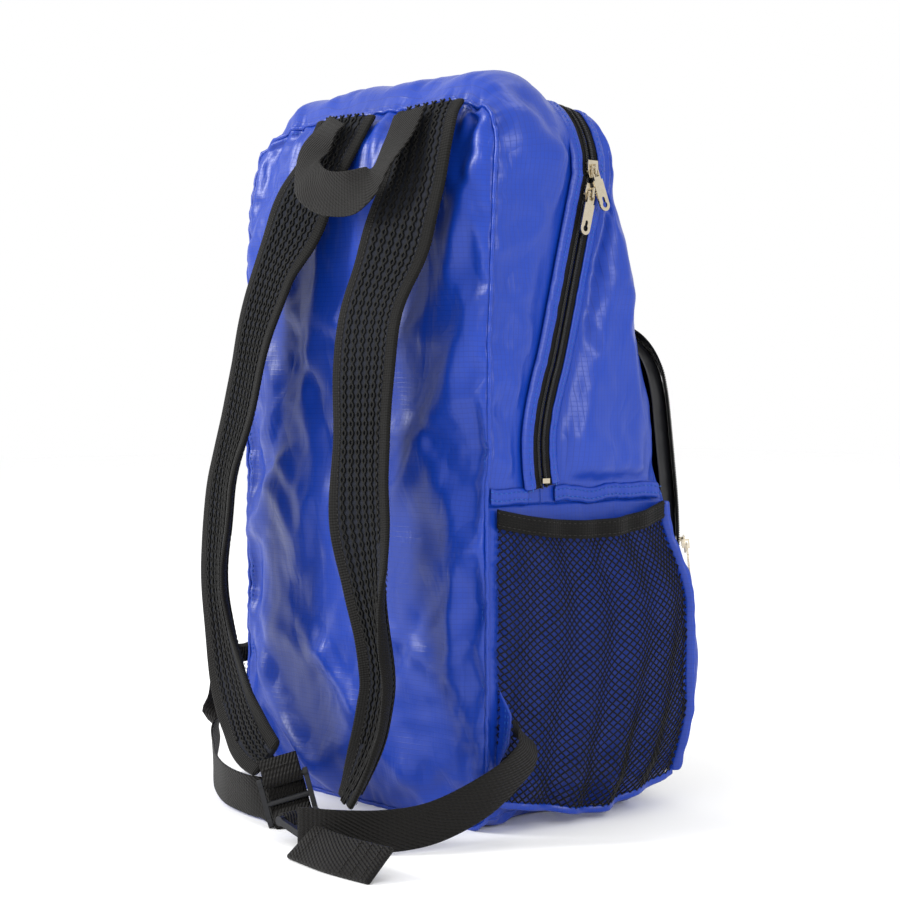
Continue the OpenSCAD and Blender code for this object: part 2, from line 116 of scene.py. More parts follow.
def ripstopNylon():   # light calendered nylon, woven with a stronger thread every 4 mm: satin gloss, fine grid
    material, tree, shader = newMaterial("calendered_ripstop_nylon", Roughness=0.36, Sheen_Weight=0.05,
                                         Sheen_Roughness=0.35, IOR=1.5, Specular_IOR_Level=0.42)
    shader.inputs["Sheen Tint"].default_value = hexColour("#8fa4ff")
    uv = addNode(tree, "ShaderNodeUVMap", uv_map="cloth")
    xyz = addNode(tree, "ShaderNodeSeparateXYZ", {0: uv.outputs[0]})
    weft = stripes(tree, xyz.outputs[0], 3.1, 0.16)
    warp = stripes(tree, xyz.outputs[1], 3.1, 0.3)
    grid = addNode(tree, "ShaderNodeMath", {0: weft, 1: warp}, operation="MAXIMUM")
    where = addNode(tree, "ShaderNodeTexCoord")
    cloud = addNode(tree, "ShaderNodeTexNoise", {"Vector": where.outputs["Object"], "Scale": 14.0, "Detail": 3.0})
    base = addNode(tree, "ShaderNodeMix", {0: cloud.outputs["Fac"], 6: hexColour(colours["ripstop"]),
                                           7: hexColour(colours["ripstopShade"])}, data_type="RGBA")
    lined = addNode(tree, "ShaderNodeMix", {0: grid.outputs[0], 6: base.outputs[2],
                                            7: hexColour(colours["ripstopLine"])}, data_type="RGBA")
    tree.links.new(lined.outputs[2], shader.inputs["Base Color"])
    stretched = addNode(tree, "ShaderNodeMapping", {"Vector": where.outputs["Object"], "Scale": (1.0, 1.0, 0.55),
                                                    "Rotation": (0.0, 0.5, 0.3)})
    height = None
    for scale, deep in ((9.0, 1.0), (27.0, 0.3)):   # large folds and small crumples with sharp ridges
        creases = addNode(tree, "ShaderNodeTexNoise", {"Vector": stretched.outputs[0], "Scale": scale, "Detail": 2.0,
                                                       "Roughness": 0.5, "Distortion": 1.1})
        middle = addNode(tree, "ShaderNodeMath", {0: creases.outputs["Fac"], 1: 0.5}, operation="SUBTRACT")
        ridge = addNode(tree, "ShaderNodeMath", {0: middle.outputs[0]}, operation="ABSOLUTE")
        height = addNode(tree, "ShaderNodeMath", {0: ridge.outputs[0], 1: deep, 2: height.outputs[0] if height else 0.0},
                         operation="MULTIPLY_ADD")
    soft = addNode(tree, "ShaderNodeBump", {"Height": height.outputs[0], "Distance": 0.014, "Strength": 0.42})
    threads = addNode(tree, "ShaderNodeBump", {"Height": grid.outputs[0], "Normal": soft.outputs[0],
                                               "Distance": 0.00012, "Strength": 0.35})
    tree.links.new(threads.outputs[0], shader.inputs["Normal"])
    return material


def pocketSatin():   # close satin weave in black nylon: smooth, broad soft gloss
    material, tree, shader = newMaterial("satin_woven_nylon", Roughness=0.46, Specular_IOR_Level=0.4, IOR=1.53)
    where = addNode(tree, "ShaderNodeTexCoord")
    cloud = addNode(tree, "ShaderNodeTexNoise", {"Vector": where.outputs["Object"], "Scale": 60.0, "Detail": 4.0})
    base = addNode(tree, "ShaderNodeMix", {0: cloud.outputs["Fac"], 6: hexColour("#0b0b0e"),
                                           7: hexColour(colours["satin"])}, data_type="RGBA")
    tree.links.new(base.outputs[2], shader.inputs["Base Color"])
    soft = addNode(tree, "ShaderNodeBump", {"Height": cloud.outputs["Fac"], "Distance": 0.0016, "Strength": 0.4})
    tree.links.new(soft.outputs[0], shader.inputs["Normal"])
    return material


def ribbedCloth(name, colour, pitch, depth, along=1, rough=0.75, twill=0.0):   # raised ribs every pitch mm
    material, tree, shader = newMaterial(name, Roughness=rough, Sheen_Weight=0.02, Specular_IOR_Level=0.18, IOR=1.5)
    uv = addNode(tree, "ShaderNodeUVMap", uv_map="cloth")
    xyz = addNode(tree, "ShaderNodeSeparateXYZ", {0: uv.outputs[0]})
    lean = addNode(tree, "ShaderNodeMath", {0: xyz.outputs[1 - along], 1: twill, 2: xyz.outputs[along]},
                   operation="MULTIPLY_ADD")
    turn = addNode(tree, "ShaderNodeMath", {0: lean.outputs[0], 1: 2 * pi / pitch}, operation="MULTIPLY")
    wave = addNode(tree, "ShaderNodeMath", {0: turn.outputs[0]}, operation="SINE")
    cross = addNode(tree, "ShaderNodeMath", {0: xyz.outputs[1 - along], 1: 2 * pi / (pitch * 1.3)},
                    operation="MULTIPLY")
    crossWave = addNode(tree, "ShaderNodeMath", {0: cross.outputs[0]}, operation="SINE")
    both = addNode(tree, "ShaderNodeMath", {0: crossWave.outputs[0], 1: 0.35, 2: wave.outputs[0]},
                   operation="MULTIPLY_ADD")
    where = addNode(tree, "ShaderNodeTexCoord")
    fuzz = addNode(tree, "ShaderNodeTexNoise", {"Vector": where.outputs["Object"], "Scale": 900.0, "Detail": 2.0})
    rough3 = addNode(tree, "ShaderNodeMath", {0: fuzz.outputs["Fac"], 1: 0.9, 2: both.outputs[0]},
                     operation="MULTIPLY_ADD")
    # the colour follows the rib height: painted shade in the grooves and painted light on the crests, over a random
    # fibre tone
    shade = addNode(tree, "ShaderNodeMapRange", {0: rough3.outputs[0], 1: -1.0, 2: 2.0, 3: 0.5, 4: 1.35})
    tone = addNode(tree, "ShaderNodeVectorMath", {0: hexColour(colour)[:3], "Scale": shade.outputs[0]},
                   operation="SCALE")
    tree.links.new(tone.outputs[0], shader.inputs["Base Color"])
    bump = addNode(tree, "ShaderNodeBump", {"Height": rough3.outputs[0], "Distance": depth * mm, "Strength": 0.9})
    tree.links.new(bump.outputs[0], shader.inputs["Normal"])
    return material


def plainYarn(name, colour, rough=0.6, gloss=0.2):   # twisted yarn too fine to draw: soft fibre gloss with slight unevenness
    material, tree, shader = newMaterial(name, Roughness=rough, Specular_IOR_Level=gloss, IOR=1.5)
    where = addNode(tree, "ShaderNodeTexCoord")
    fibre = addNode(tree, "ShaderNodeTexNoise", {"Vector": where.outputs["Object"], "Scale": 700.0, "Detail": 2.0})
    shade = addNode(tree, "ShaderNodeMapRange", {0: fibre.outputs["Fac"], 1: 0.2, 2: 0.8, 3: 0.7, 4: 1.25})
    tone = addNode(tree, "ShaderNodeVectorMath", {0: hexColour(colour)[:3], "Scale": shade.outputs[0]},
                   operation="SCALE")
    tree.links.new(tone.outputs[0], shader.inputs["Base Color"])
    bump = addNode(tree, "ShaderNodeBump", {"Height": fibre.outputs["Fac"], "Distance": 0.0003, "Strength": 0.7})
    tree.links.new(bump.outputs[0], shader.inputs["Normal"])
    return material


def castAlloy():   # zinc alloy, die cast, tumbled and nickel plated: bright, with soft worn reflections
    material, tree, shader = newMaterial("nickel_plated_zinc_alloy", Metallic=1.0, Roughness=0.24)
    where = addNode(tree, "ShaderNodeTexCoord")
    wear = addNode(tree, "ShaderNodeTexNoise", {"Vector": where.outputs["Object"], "Scale": 420.0, "Detail": 5.0})
    base = addNode(tree, "ShaderNodeMix", {0: wear.outputs["Fac"], 6: hexColour(colours["alloy"]),
                                           7: hexColour("#b9ad95")}, data_type="RGBA")
    tree.links.new(base.outputs[2], shader.inputs["Base Color"])
    rough = addNode(tree, "ShaderNodeMapRange", {0: wear.outputs["Fac"], 1: 0.3, 2: 0.7, 3: 0.16, 4: 0.36})
    tree.links.new(rough.outputs[0], shader.inputs["Roughness"])
    bump = addNode(tree, "ShaderNodeBump", {"Height": wear.outputs["Fac"], "Distance": 0.0001, "Strength": 0.5})
    tree.links.new(bump.outputs[0], shader.inputs["Normal"])
    return material


def mouldedAcetal():   # acetal, injection moulded in a sparked tool: even fine grain, low gloss
    material, tree, shader = newMaterial("moulded_acetal", Roughness=0.38, Specular_IOR_Level=0.4, IOR=1.48)
    where = addNode(tree, "ShaderNodeTexCoord")
    grain = addNode(tree, "ShaderNodeTexNoise", {"Vector": where.outputs["Object"], "Scale": 1500.0, "Detail": 2.0})
    base = addNode(tree, "ShaderNodeMix", {0: grain.outputs["Fac"], 6: hexColour(colours["acetal"]),
                                           7: hexColour("#1b1c20")}, data_type="RGBA")
    tree.links.new(base.outputs[2], shader.inputs["Base Color"])
    bump = addNode(tree, "ShaderNodeBump", {"Height": grain.outputs["Fac"], "Distance": 0.0001, "Strength": 0.35})
    tree.links.new(bump.outputs[0], shader.inputs["Normal"])
    return material


cloth = {
    "ripstop": ripstopNylon(),
    "satin": pocketSatin(),
    "tape": ribbedCloth("woven_zip_tape", colours["tape"], 1.2, 0.12),
    "coil": plainYarn("nylon_monofilament_coil", colours["coil"], 0.34, 0.45),
    "alloy": castAlloy(),
    "net": plainYarn("knitted_polyester_net", colours["net"], 0.6, 0.2),
    "elastic": ribbedCloth("ribbed_elastic_braid", colours["elastic"], 1.7, 0.25, along=0),
    "airMesh": plainYarn("knitted_air_mesh_yarn", colours["airMesh"], 0.7, 0.18),
    "foam": plainYarn("foam_backed_tricot", colours["foam"], 0.9, 0.1),
    "binding": ribbedCloth("grosgrain_binding", colours["binding"], 1.6, 0.25),
    "webbing": ribbedCloth("polypropylene_webbing", colours["webbing"], 2.2, 0.35, along=0, twill=0.5, rough=0.6),
    "acetal": mouldedAcetal(),
    "blueThread": plainYarn("blue_polyester_thread", colours["blueThread"], 0.5, 0.4),
    "darkThread": plainYarn("dark_polyester_thread", colours["darkThread"], 0.5, 0.3),
}
print("materials made:", len(cloth))


def out(x, away, z):   # away is how far a point stands off the plane of the back
    return (x, -75.0 - away, z)


def smoothLine(points, steps):   # smooth run through the points, steps to a gap
    p = np.array(points, float)
    if p.ndim == 1:
        p = p[:, None]
    rows = []
    for i in range(len(p) - 1):
        a, b, c, d = p[max(i - 1, 0)], p[i], p[i + 1], p[min(i + 2, len(p) - 1)]
        for k in range(steps):
            t = k / steps
            rows.append(0.5 * (2 * b + (c - a) * t + (2 * a - 5 * b + 4 * c - d) * t * t
                               + (3 * b - a - 3 * c + d) * t ** 3))
    rows.append(p[-1])
    return np.array(rows)


def unit(v):
    return v / np.maximum(np.linalg.norm(v, axis=-1, keepdims=True), 1e-9)


def evenly(points, step, *others):   # the line again with equal gaps, and what goes with it
    gaps = np.linalg.norm(np.diff(points, axis=0), axis=1)
    s = np.concatenate([[0], np.cumsum(gaps)])
    fresh = np.linspace(0, s[-1], max(2, int(round(s[-1] / step)) + 1))
    made = [np.stack([np.interp(fresh, s, np.asarray(a)[:, j]) for j in range(np.asarray(a).shape[1])], 1)
            for a in (points, *others)]
    return (fresh, *made)


def frameAlong(route, step, stepsIn=8):   # route is (point, width, across); gives s, point, width, across, outward
    p = smoothLine([r[0] for r in route], stepsIn)
    w = smoothLine([[r[1]] for r in route], stepsIn)
    a = smoothLine([r[2] for r in route], stepsIn)
    s, p, w, a = evenly(p, step, w, a)
    t = unit(np.gradient(p, axis=0))
    a = unit(a - t * np.sum(a * t, 1, keepdims=True))
    return s, p, w[:, 0], a, unit(np.cross(t, a))


def newObject(name, points, faces, material, uvs=None, smooth=True, keepUv=True):
    mesh = bpy.data.meshes.new(name)
    mesh.from_pydata([tuple(p) for p in np.asarray(points) * mm], [], faces)
    if uvs is not None:
        layer = mesh.uv_layers.new(name="cloth")
        layer.data.foreach_set("uv", np.asarray(uvs, float).ravel())
    mesh.materials.append(cloth[material])
    mesh.polygons.foreach_set("use_smooth", [smooth] * len(mesh.polygons))
    piece = bpy.data.objects.new(name, mesh)
    scene.collection.objects.link(piece)
    return piece


def turnOutward(piece):
    work = bmesh.new()
    work.from_mesh(piece.data)
    bmesh.ops.recalc_face_normals(work, faces=work.faces)
    work.to_mesh(piece.data)
    work.free()


def sweep(name, s, p, across, rise, sections, material, closed=True):
    # one ring of (across, rise) points at each step along the line, joined into a tube with shut ends
    n, m = len(p), len(sections[0])
    sec = np.array(sections, float)
    points = (p[:, None] + across[:, None] * sec[:, :, :1] + rise[:, None] * sec[:, :, 1:2]).reshape(-1, 3)
    gaps = np.linalg.norm(np.roll(sec[n // 2], -1, 0) - sec[n // 2], axis=1)
    u = np.concatenate([[0], np.cumsum(gaps)])
    faces, uvs = [], []
    for i in range(n - 1):
        for j in range(m if closed else m - 1):
            k = (j + 1) % m
            faces.append((i * m + j, (i + 1) * m + j, (i + 1) * m + k, i * m + k))
            uvs += [(u[j], s[i]), (u[j], s[i + 1]), (u[j + 1], s[i + 1]), (u[j + 1], s[i])]
    if closed:
        for ring, order in ((0, 1), (n - 1, -1)):
            faces.append(tuple(ring * m + j for j in range(m))[::order])
            uvs += [(u[j], s[ring]) for j in range(m)][::order]
    piece = newObject(name, points, faces, material, uvs)
    turnOutward(piece)
    return piece


def finish(piece, *steps):   # puts modifiers on for good
    for kind, values in steps:
        m = piece.modifiers.new(kind.lower(), kind)
        for key, value in values.items():
            setattr(m, key, value)
    deps = bpy.context.evaluated_depsgraph_get()
    mesh = bpy.data.meshes.new_from_object(piece.evaluated_get(deps))
    piece.modifiers.clear()
    old = piece.data
    piece.data = mesh
    bpy.data.meshes.remove(old)
    mesh.name = piece.name
    return piece


def join(name, pieces):
    pieces = list(pieces)
    work = bmesh.new()
    for piece in pieces:
        work.from_mesh(piece.data)
    mesh = bpy.data.meshes.new(name)
    work.to_mesh(mesh)
    work.free()
    for material in pieces[0].data.materials:
        mesh.materials.append(material)
    for piece in pieces:
        bpy.data.objects.remove(piece)
    made = bpy.data.objects.new(name, mesh)
    scene.collection.objects.link(made)
    return made


def wire(name, lines, outs=None, lays=None):   # open lines with the directions that pieces set on them take
    points, edges, o, l = [], [], [], []
    for i, line in enumerate(lines):
        start = len(points)
        points += list(np.asarray(line) * mm)
        edges += [(start + k, start + k + 1) for k in range(len(line) - 1)]
        if outs is not None:
            o += list(outs[i])
            l += list(lays[i]) if lays is not None else list(unit(np.gradient(np.asarray(line), axis=0)))
    mesh = bpy.data.meshes.new(name)
    mesh.from_pydata([tuple(p) for p in points], edges, [])
    if outs is not None:
        for key, values in (("out", o), ("lay", l)):
            mesh.attributes.new(key, "FLOAT_VECTOR", "POINT").data.foreach_set(
                "vector", np.asarray(values, float).ravel())
    piece = bpy.data.objects.new(name, mesh)
    scene.collection.objects.link(piece)
    return piece


def treeInput(tree, name, kind, value=None):
    socket = tree.interface.new_socket(name=name, in_out="INPUT", socket_type=kind)
    if value is not None:
        socket.default_value = value
    return socket.identifier


def startTree(name, inputs):
    tree = bpy.data.node_groups.new(name, "GeometryNodeTree")
    names = {"Lines": treeInput(tree, "Lines", "NodeSocketGeometry")}
    for key, value in inputs.items():
        names[key] = treeInput(tree, key, "NodeSocketFloat", value)
    names["Material"] = treeInput(tree, "Material", "NodeSocketMaterial")
    tree.interface.new_socket(name="Geometry", in_out="OUTPUT", socket_type="NodeSocketGeometry")
    return tree, names, addNode(tree, "NodeGroupInput").outputs


def endTree(tree, made, material):
    shaded = addNode(tree, "GeometryNodeSetShadeSmooth", {0: made})
    real = addNode(tree, "GeometryNodeRealizeInstances", {0: shaded.outputs[0]})
    painted = addNode(tree, "GeometryNodeSetMaterial", {0: real.outputs[0], "Material": material})
    addNode(tree, "NodeGroupOutput", {0: painted.outputs[0]})


def strandTree():   # a round strand along every line
    tree, names, given = startTree("strands_on_lines", {"Radius": 0.0004, "Flat": 1.0})
    line = addNode(tree, "GeometryNodeMeshToCurve", {0: given["Lines"]})
    ring = addNode(tree, "GeometryNodeCurvePrimitiveCircle", {"Resolution": 4, "Radius": given["Radius"]})
    tube = addNode(tree, "GeometryNodeCurveToMesh", {0: line.outputs[0], 1: ring.outputs[0]})
    tube.inputs["Fill Caps"].default_value = True
    endTree(tree, tube.outputs[0], given["Material"])
    return tree, names


def beadTree():   # a small rounded bar every spacing along the lines: a stitch or one tooth of a coil
    tree, names, given = startTree("bars_on_lines", {"Spacing": 0.003, "Length": 0.002, "Width": 0.0006,
                                                     "Height": 0.0005})
    line = addNode(tree, "GeometryNodeMeshToCurve", {0: given["Lines"]})
    even = addNode(tree, "GeometryNodeResampleCurve", {0: line.outputs[0]})
    if "Mode" in even.inputs:
        even.inputs["Mode"].default_value = "Length"
    else:
        even.mode = "LENGTH"
    tree.links.new(given["Spacing"], even.inputs["Length"])
    bead = addNode(tree, "GeometryNodeMeshUVSphere", {"Segments": 6, "Rings": 4, "Radius": 0.5})
    size = addNode(tree, "ShaderNodeCombineXYZ", {0: given["Length"], 1: given["Width"], 2: given["Height"]})
    bar = addNode(tree, "GeometryNodeTransform", {0: bead.outputs[0], "Scale": size.outputs[0]})
    up = addNode(tree, "GeometryNodeInputNamedAttribute", {0: "out"}, data_type="FLOAT_VECTOR")
    lay = addNode(tree, "GeometryNodeInputNamedAttribute", {0: "lay"}, data_type="FLOAT_VECTOR")
    turn = addNode(tree, "FunctionNodeAxesToRotation", {0: up.outputs[0], 1: lay.outputs[0]},
                   primary_axis="Z", secondary_axis="X")
    set_ = addNode(tree, "GeometryNodeInstanceOnPoints", {"Points": even.outputs[0], "Instance": bar.outputs[0],
                                                          "Rotation": turn.outputs[0]})
    endTree(tree, set_.outputs[0], given["Material"])
    return tree, names


strands, beads = strandTree(), beadTree()


def grow(piece, made, material, **sizes):   # runs a tree on the lines and keeps the plain mesh
    tree, names = made
    m = piece.modifiers.new("grow", "NODES")
    m.node_group = tree
    for key, value in sizes.items():
        m[names[key]] = value
    m[names["Material"]] = cloth[material]
    return finish(piece)


def stitches(name, lines, outs, material, length=2.6, spacing=3.6, width=0.75, height=0.6):
    return grow(wire(name, lines, outs), beads, material, Spacing=spacing * mm, Length=length * mm,
                Width=width * mm, Height=height * mm)


def show(piece, body, slot, *replaced, bodyB=None, start=None, end=None):
    if bodyB:
        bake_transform(piece)
    else:
        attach(piece, body)
    if replaced:
        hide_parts(*replaced)
    return piece


# Camera, floor and lights
view = {"turn": 48.99, "distance": 1.306, "height": 0.2678, "tilt": 1.73, "lens": 77.744, "shift": 0.0041}


def setCamera():
    data = bpy.data.cameras.new("camera")
    data.lens, data.sensor_width, data.shift_x = view["lens"], 36, view["shift"]
    camera = bpy.data.objects.new("camera", data)
    scene.collection.objects.link(camera)
    a = radians(view["turn"])
    camera.location = (sin(a) * view["distance"], -cos(a) * view["distance"], view["height"])
    camera.rotation_euler = (radians(90 - view["tilt"]), 0, a)
    scene.camera = camera


def softBoxLight(name, at, size, power, colour="#ffffff"):
    data = bpy.data.lights.new(name, "AREA")
    data.shape, data.size, data.size_y, data.energy = "RECTANGLE", size[0], size[1], power
    data.color = hexColour(colour)[:3]
    light = bpy.data.objects.new(name, data)
    light.location = at
    light.rotation_euler = (Vector((0, 0, 0.22)) - Vector(at)).to_track_quat("-Z", "Y").to_euler()
    scene.collection.objects.link(light)


def makeFloor():
    mesh = bpy.data.meshes.new("floor")
    wide = 6.0
    mesh.from_pydata([(-wide, -wide, 0), (wide, -wide, 0), (wide, wide, 0), (-wide, wide, 0)], [], [(0, 1, 2, 3)])
    material, tree, shader = newMaterial("matt_white_board", Roughness=0.9)
    shader.inputs["Base Color"].default_value = hexColour(colours["floor"])
    mesh.materials.append(material)
    floorPlane = bpy.data.objects.new("floor", mesh)
    scene.collection.objects.link(floorPlane)
    floorPlane.location = (0, 0, -0.0005)


def setWorld():
    world = bpy.data.worlds.new("studio")
    scene.world = world
    world.use_nodes = True
    world.node_tree.nodes["Background"].inputs[0].default_value = (1, 1, 1, 1)
    world.node_tree.nodes["Background"].inputs[1].default_value = 1.0


scene.view_settings.view_transform = "Standard"
setCamera()
makeFloor()
setWorld()
softBoxLight("key", (-1.1, -1.7, 1.3), (0.5, 1.0), 44)
softBoxLight("side", (2.1, -0.5, 1.0), (0.35, 1.1), 16)
softBoxLight("top", (0.2, 0.5, 2.1), (0.8, 0.8), 5)
print("stage set")


# The sewn bag: one soft shell, pinned at its seams, blown out and creased, then cut into its panels
bag = {
    "halfWidth": 125.0, "height": 456.0, "topRadius": 50.0, "bottomRadius": 25.0,
    "cells": (50, 34, 92), "zipRow": 12, "sideSeam": 200.0, "zipEnd": 209.0,
    "rounding": 9, "spare": -0.035, "seamDrop": 10.0, "pressure": 1.6, "frames": 16, "mostMove": 9.0, "flatByZip": (14.0, 36.0),
    "sideFull": 11.0, "frontFull": 8.0, "topPuff": 11.0, "frontTip": 0.25,
    "clothThick": 0.5, "seed": 7,
}
backKeys = [(0, 4), (30, 0), (300, 0), (400, 4), (456, 12)]   # height, distance from the plane of the back
frontKeys = [(0, 142), (30, 158), (60, 166), (110, 168), (160, 164), (260, 150), (307, 139), (371, 127),
             (410, 114), (440, 100), (456, 96)]
zipKeys = [(0, 45), (207, 45), (222, 42.5), (240, 42), (262, 46), (292, 56), (398, 83.5), (402, 84), (476, 84)]
topKeys = [(-20, 456), (52, 456), (66, 448), (99, 448), (108, 440), (260, 426)]   # distance, height


def keyed(value, keys):
    return np.interp(value, [k[0] for k in keys], [k[1] for k in keys])


def smoothStep(x, low, high):
    t = np.clip((x - low) / (high - low), 0, 1)
    return t * t * (3 - 2 * t)


def nearest(p, line):   # distance to a line of points, and how far along it
    s = np.concatenate([[0], np.cumsum(np.linalg.norm(np.diff(line, axis=0), axis=1))])
    tree = KDTree(len(line))
    for n, v in enumerate(line):
        tree.insert(v, n)
    tree.balance()
    found = [tree.find(v) for v in p]
    return np.array([f[2] for f in found]), s[[f[1] for f in found]]


def roundedOutline(x, z, half, z0, z1, rTop, rBottom):   # turns a box's corners into arcs
    upper = z > (z0 + z1) / 2
    r = np.where(upper, rTop, rBottom)
    cx = half - r
    cz = np.where(upper, z1 - r, z0 + r)
    side = np.where(upper, 1.0, -1.0)
    p = np.clip((np.abs(x) - cx) / r, 0, 1)
    q = np.clip((z - cz) * side / r, 0, 1)
    newX = np.where(p > 0, cx + r * p * np.sqrt(1 - q * q / 2), np.abs(x)) * np.sign(x)
    newZ = np.where(q > 0, cz + side * r * q * np.sqrt(1 - p * p / 2), z)
    return newX, newZ


def softBoxGrid(cells):   # the skin of a box of cells: grid places, faces with the side each is on
    nx, ny, nz = cells
    number, places, faces, sides = {}, [], [], []

    def corner(i, k, j):
        if (i, k, j) not in number:
            number[(i, k, j)] = len(places)
            places.append((i, k, j))
        return number[(i, k, j)]

    def sheetOf(side, na, nb, place):
        for a in range(na):
            for b in range(nb):
                faces.append([corner(*place(a, b)), corner(*place(a + 1, b)), corner(*place(a + 1, b + 1)),
                              corner(*place(a, b + 1))])
                sides.append(side)

    sheetOf("back", nx, nz, lambda a, b: (a, 0, b))
    sheetOf("front", nx, nz, lambda a, b: (a, ny, b))
    sheetOf("left", ny, nz, lambda a, b: (0, a, b))
    sheetOf("right", ny, nz, lambda a, b: (nx, a, b))
    sheetOf("bottom", nx, ny, lambda a, b: (a, b, 0))
    sheetOf("top", nx, ny, lambda a, b: (a, b, nz))
    return np.array(places), faces, sides


def neighbours(faces, count):
    pairs = np.array([(f[i], f[(i + 1) % 4]) for f in faces for i in range(4)])
    pairs = np.unique(np.sort(pairs, axis=1), axis=0)
    return np.concatenate([pairs, pairs[:, ::-1]])


def relax(p, pairs, fixed, rounds, share=0.5):
    count = np.bincount(pairs[:, 0], minlength=len(p))[:, None]
    for _ in range(rounds):
        mean = np.stack([np.bincount(pairs[:, 0], weights=p[pairs[:, 1], c], minlength=len(p)) for c in range(3)], 1)
        p = np.where(fixed[:, None], p, p + (mean / count - p) * share)
    return p


def blowOut(piece, pins, spec):   # a short cloth run with a little spare cloth, so it buckles between its seams
    group = piece.vertex_groups.new(name="pins")
    for i, w in enumerate(pins):
        if w > 0:
            group.add([i], float(w), "REPLACE")
    m = piece.modifiers.new("cloth", "CLOTH")
    c = m.settings
    c.quality, c.mass, c.air_damping = 5, 0.2, 2.0
    c.tension_stiffness, c.compression_stiffness, c.shear_stiffness, c.bending_stiffness = 12, 12, 5, 0.02
    c.vertex_group_mass, c.pin_stiffness = "pins", 1.0
    c.use_pressure, c.uniform_pressure_force = True, spec["pressure"]
    c.shrink_min = spec["spare"]
    c.effector_weights.gravity = 0
    m.collision_settings.use_collision = False
    for frameNumber in range(1, spec["frames"] + 1):
        scene.frame_set(frameNumber)
    deps = bpy.context.evaluated_depsgraph_get()
    found = np.array([v.co for v in piece.evaluated_get(deps).data.vertices])
    piece.modifiers.clear()
    piece.vertex_groups.clear()
    scene.frame_set(1)
    return found / mm


def creases(p, scale, seed, stretch=(1, 1, 1)):   # sharp ridges of folded cloth, 0 to 1, by noise
    lift = Vector((seed * 3.7, seed * 1.3, seed * 2.9))
    made = np.empty(len(p))
    for i, v in enumerate(p):
        q = Vector((v[0] * stretch[0], v[1] * stretch[1], v[2] * stretch[2])) / scale + lift
        warp = noise.noise_vector(q * 0.6) * 0.9
        made[i] = 1 - min(1.0, abs(noise.noise(q + warp)) * 2.6)
    return made


def cloud(p, scale, seed):
    lift = Vector((seed * 2.3, seed * 4.1, seed * 0.7))
    return np.array([noise.noise(Vector(v) / scale + lift) for v in p])


def pointNormals(p, faces):
    f = np.array(faces)
    n = np.cross(p[f[:, 2]] - p[f[:, 0]], p[f[:, 3]] - p[f[:, 1]])
    total = np.zeros_like(p)
    for c in range(4):
        np.add.at(total, f[:, c], n)
    return unit(total)


def cornerFullness(z):   # the bag is fullest at the foot of its sides, 0 to 1
    return smoothStep(z, -20, 70) * (1 - smoothStep(z, 128, 194))


def zipSideLine():   # the main zip's own line, from one end round the top to the other
    side = [(125.0, z) for z in (209, 215, 225, 240, 258, 275, 292, 345, 398, 402)]
    arc = [(75 + 50 * cos(radians(a)), 406 + 50 * sin(radians(a))) for a in range(0, 49, 3)]
    half = side + arc + [(101.5, 446.2), (94.0, 447.4), (80.0, 447.6)]
    line = half + [(-x, z) for x, z in half[::-1]]
    return np.array([(x, -75 + keyed(z, zipKeys), z) for x, z in line])


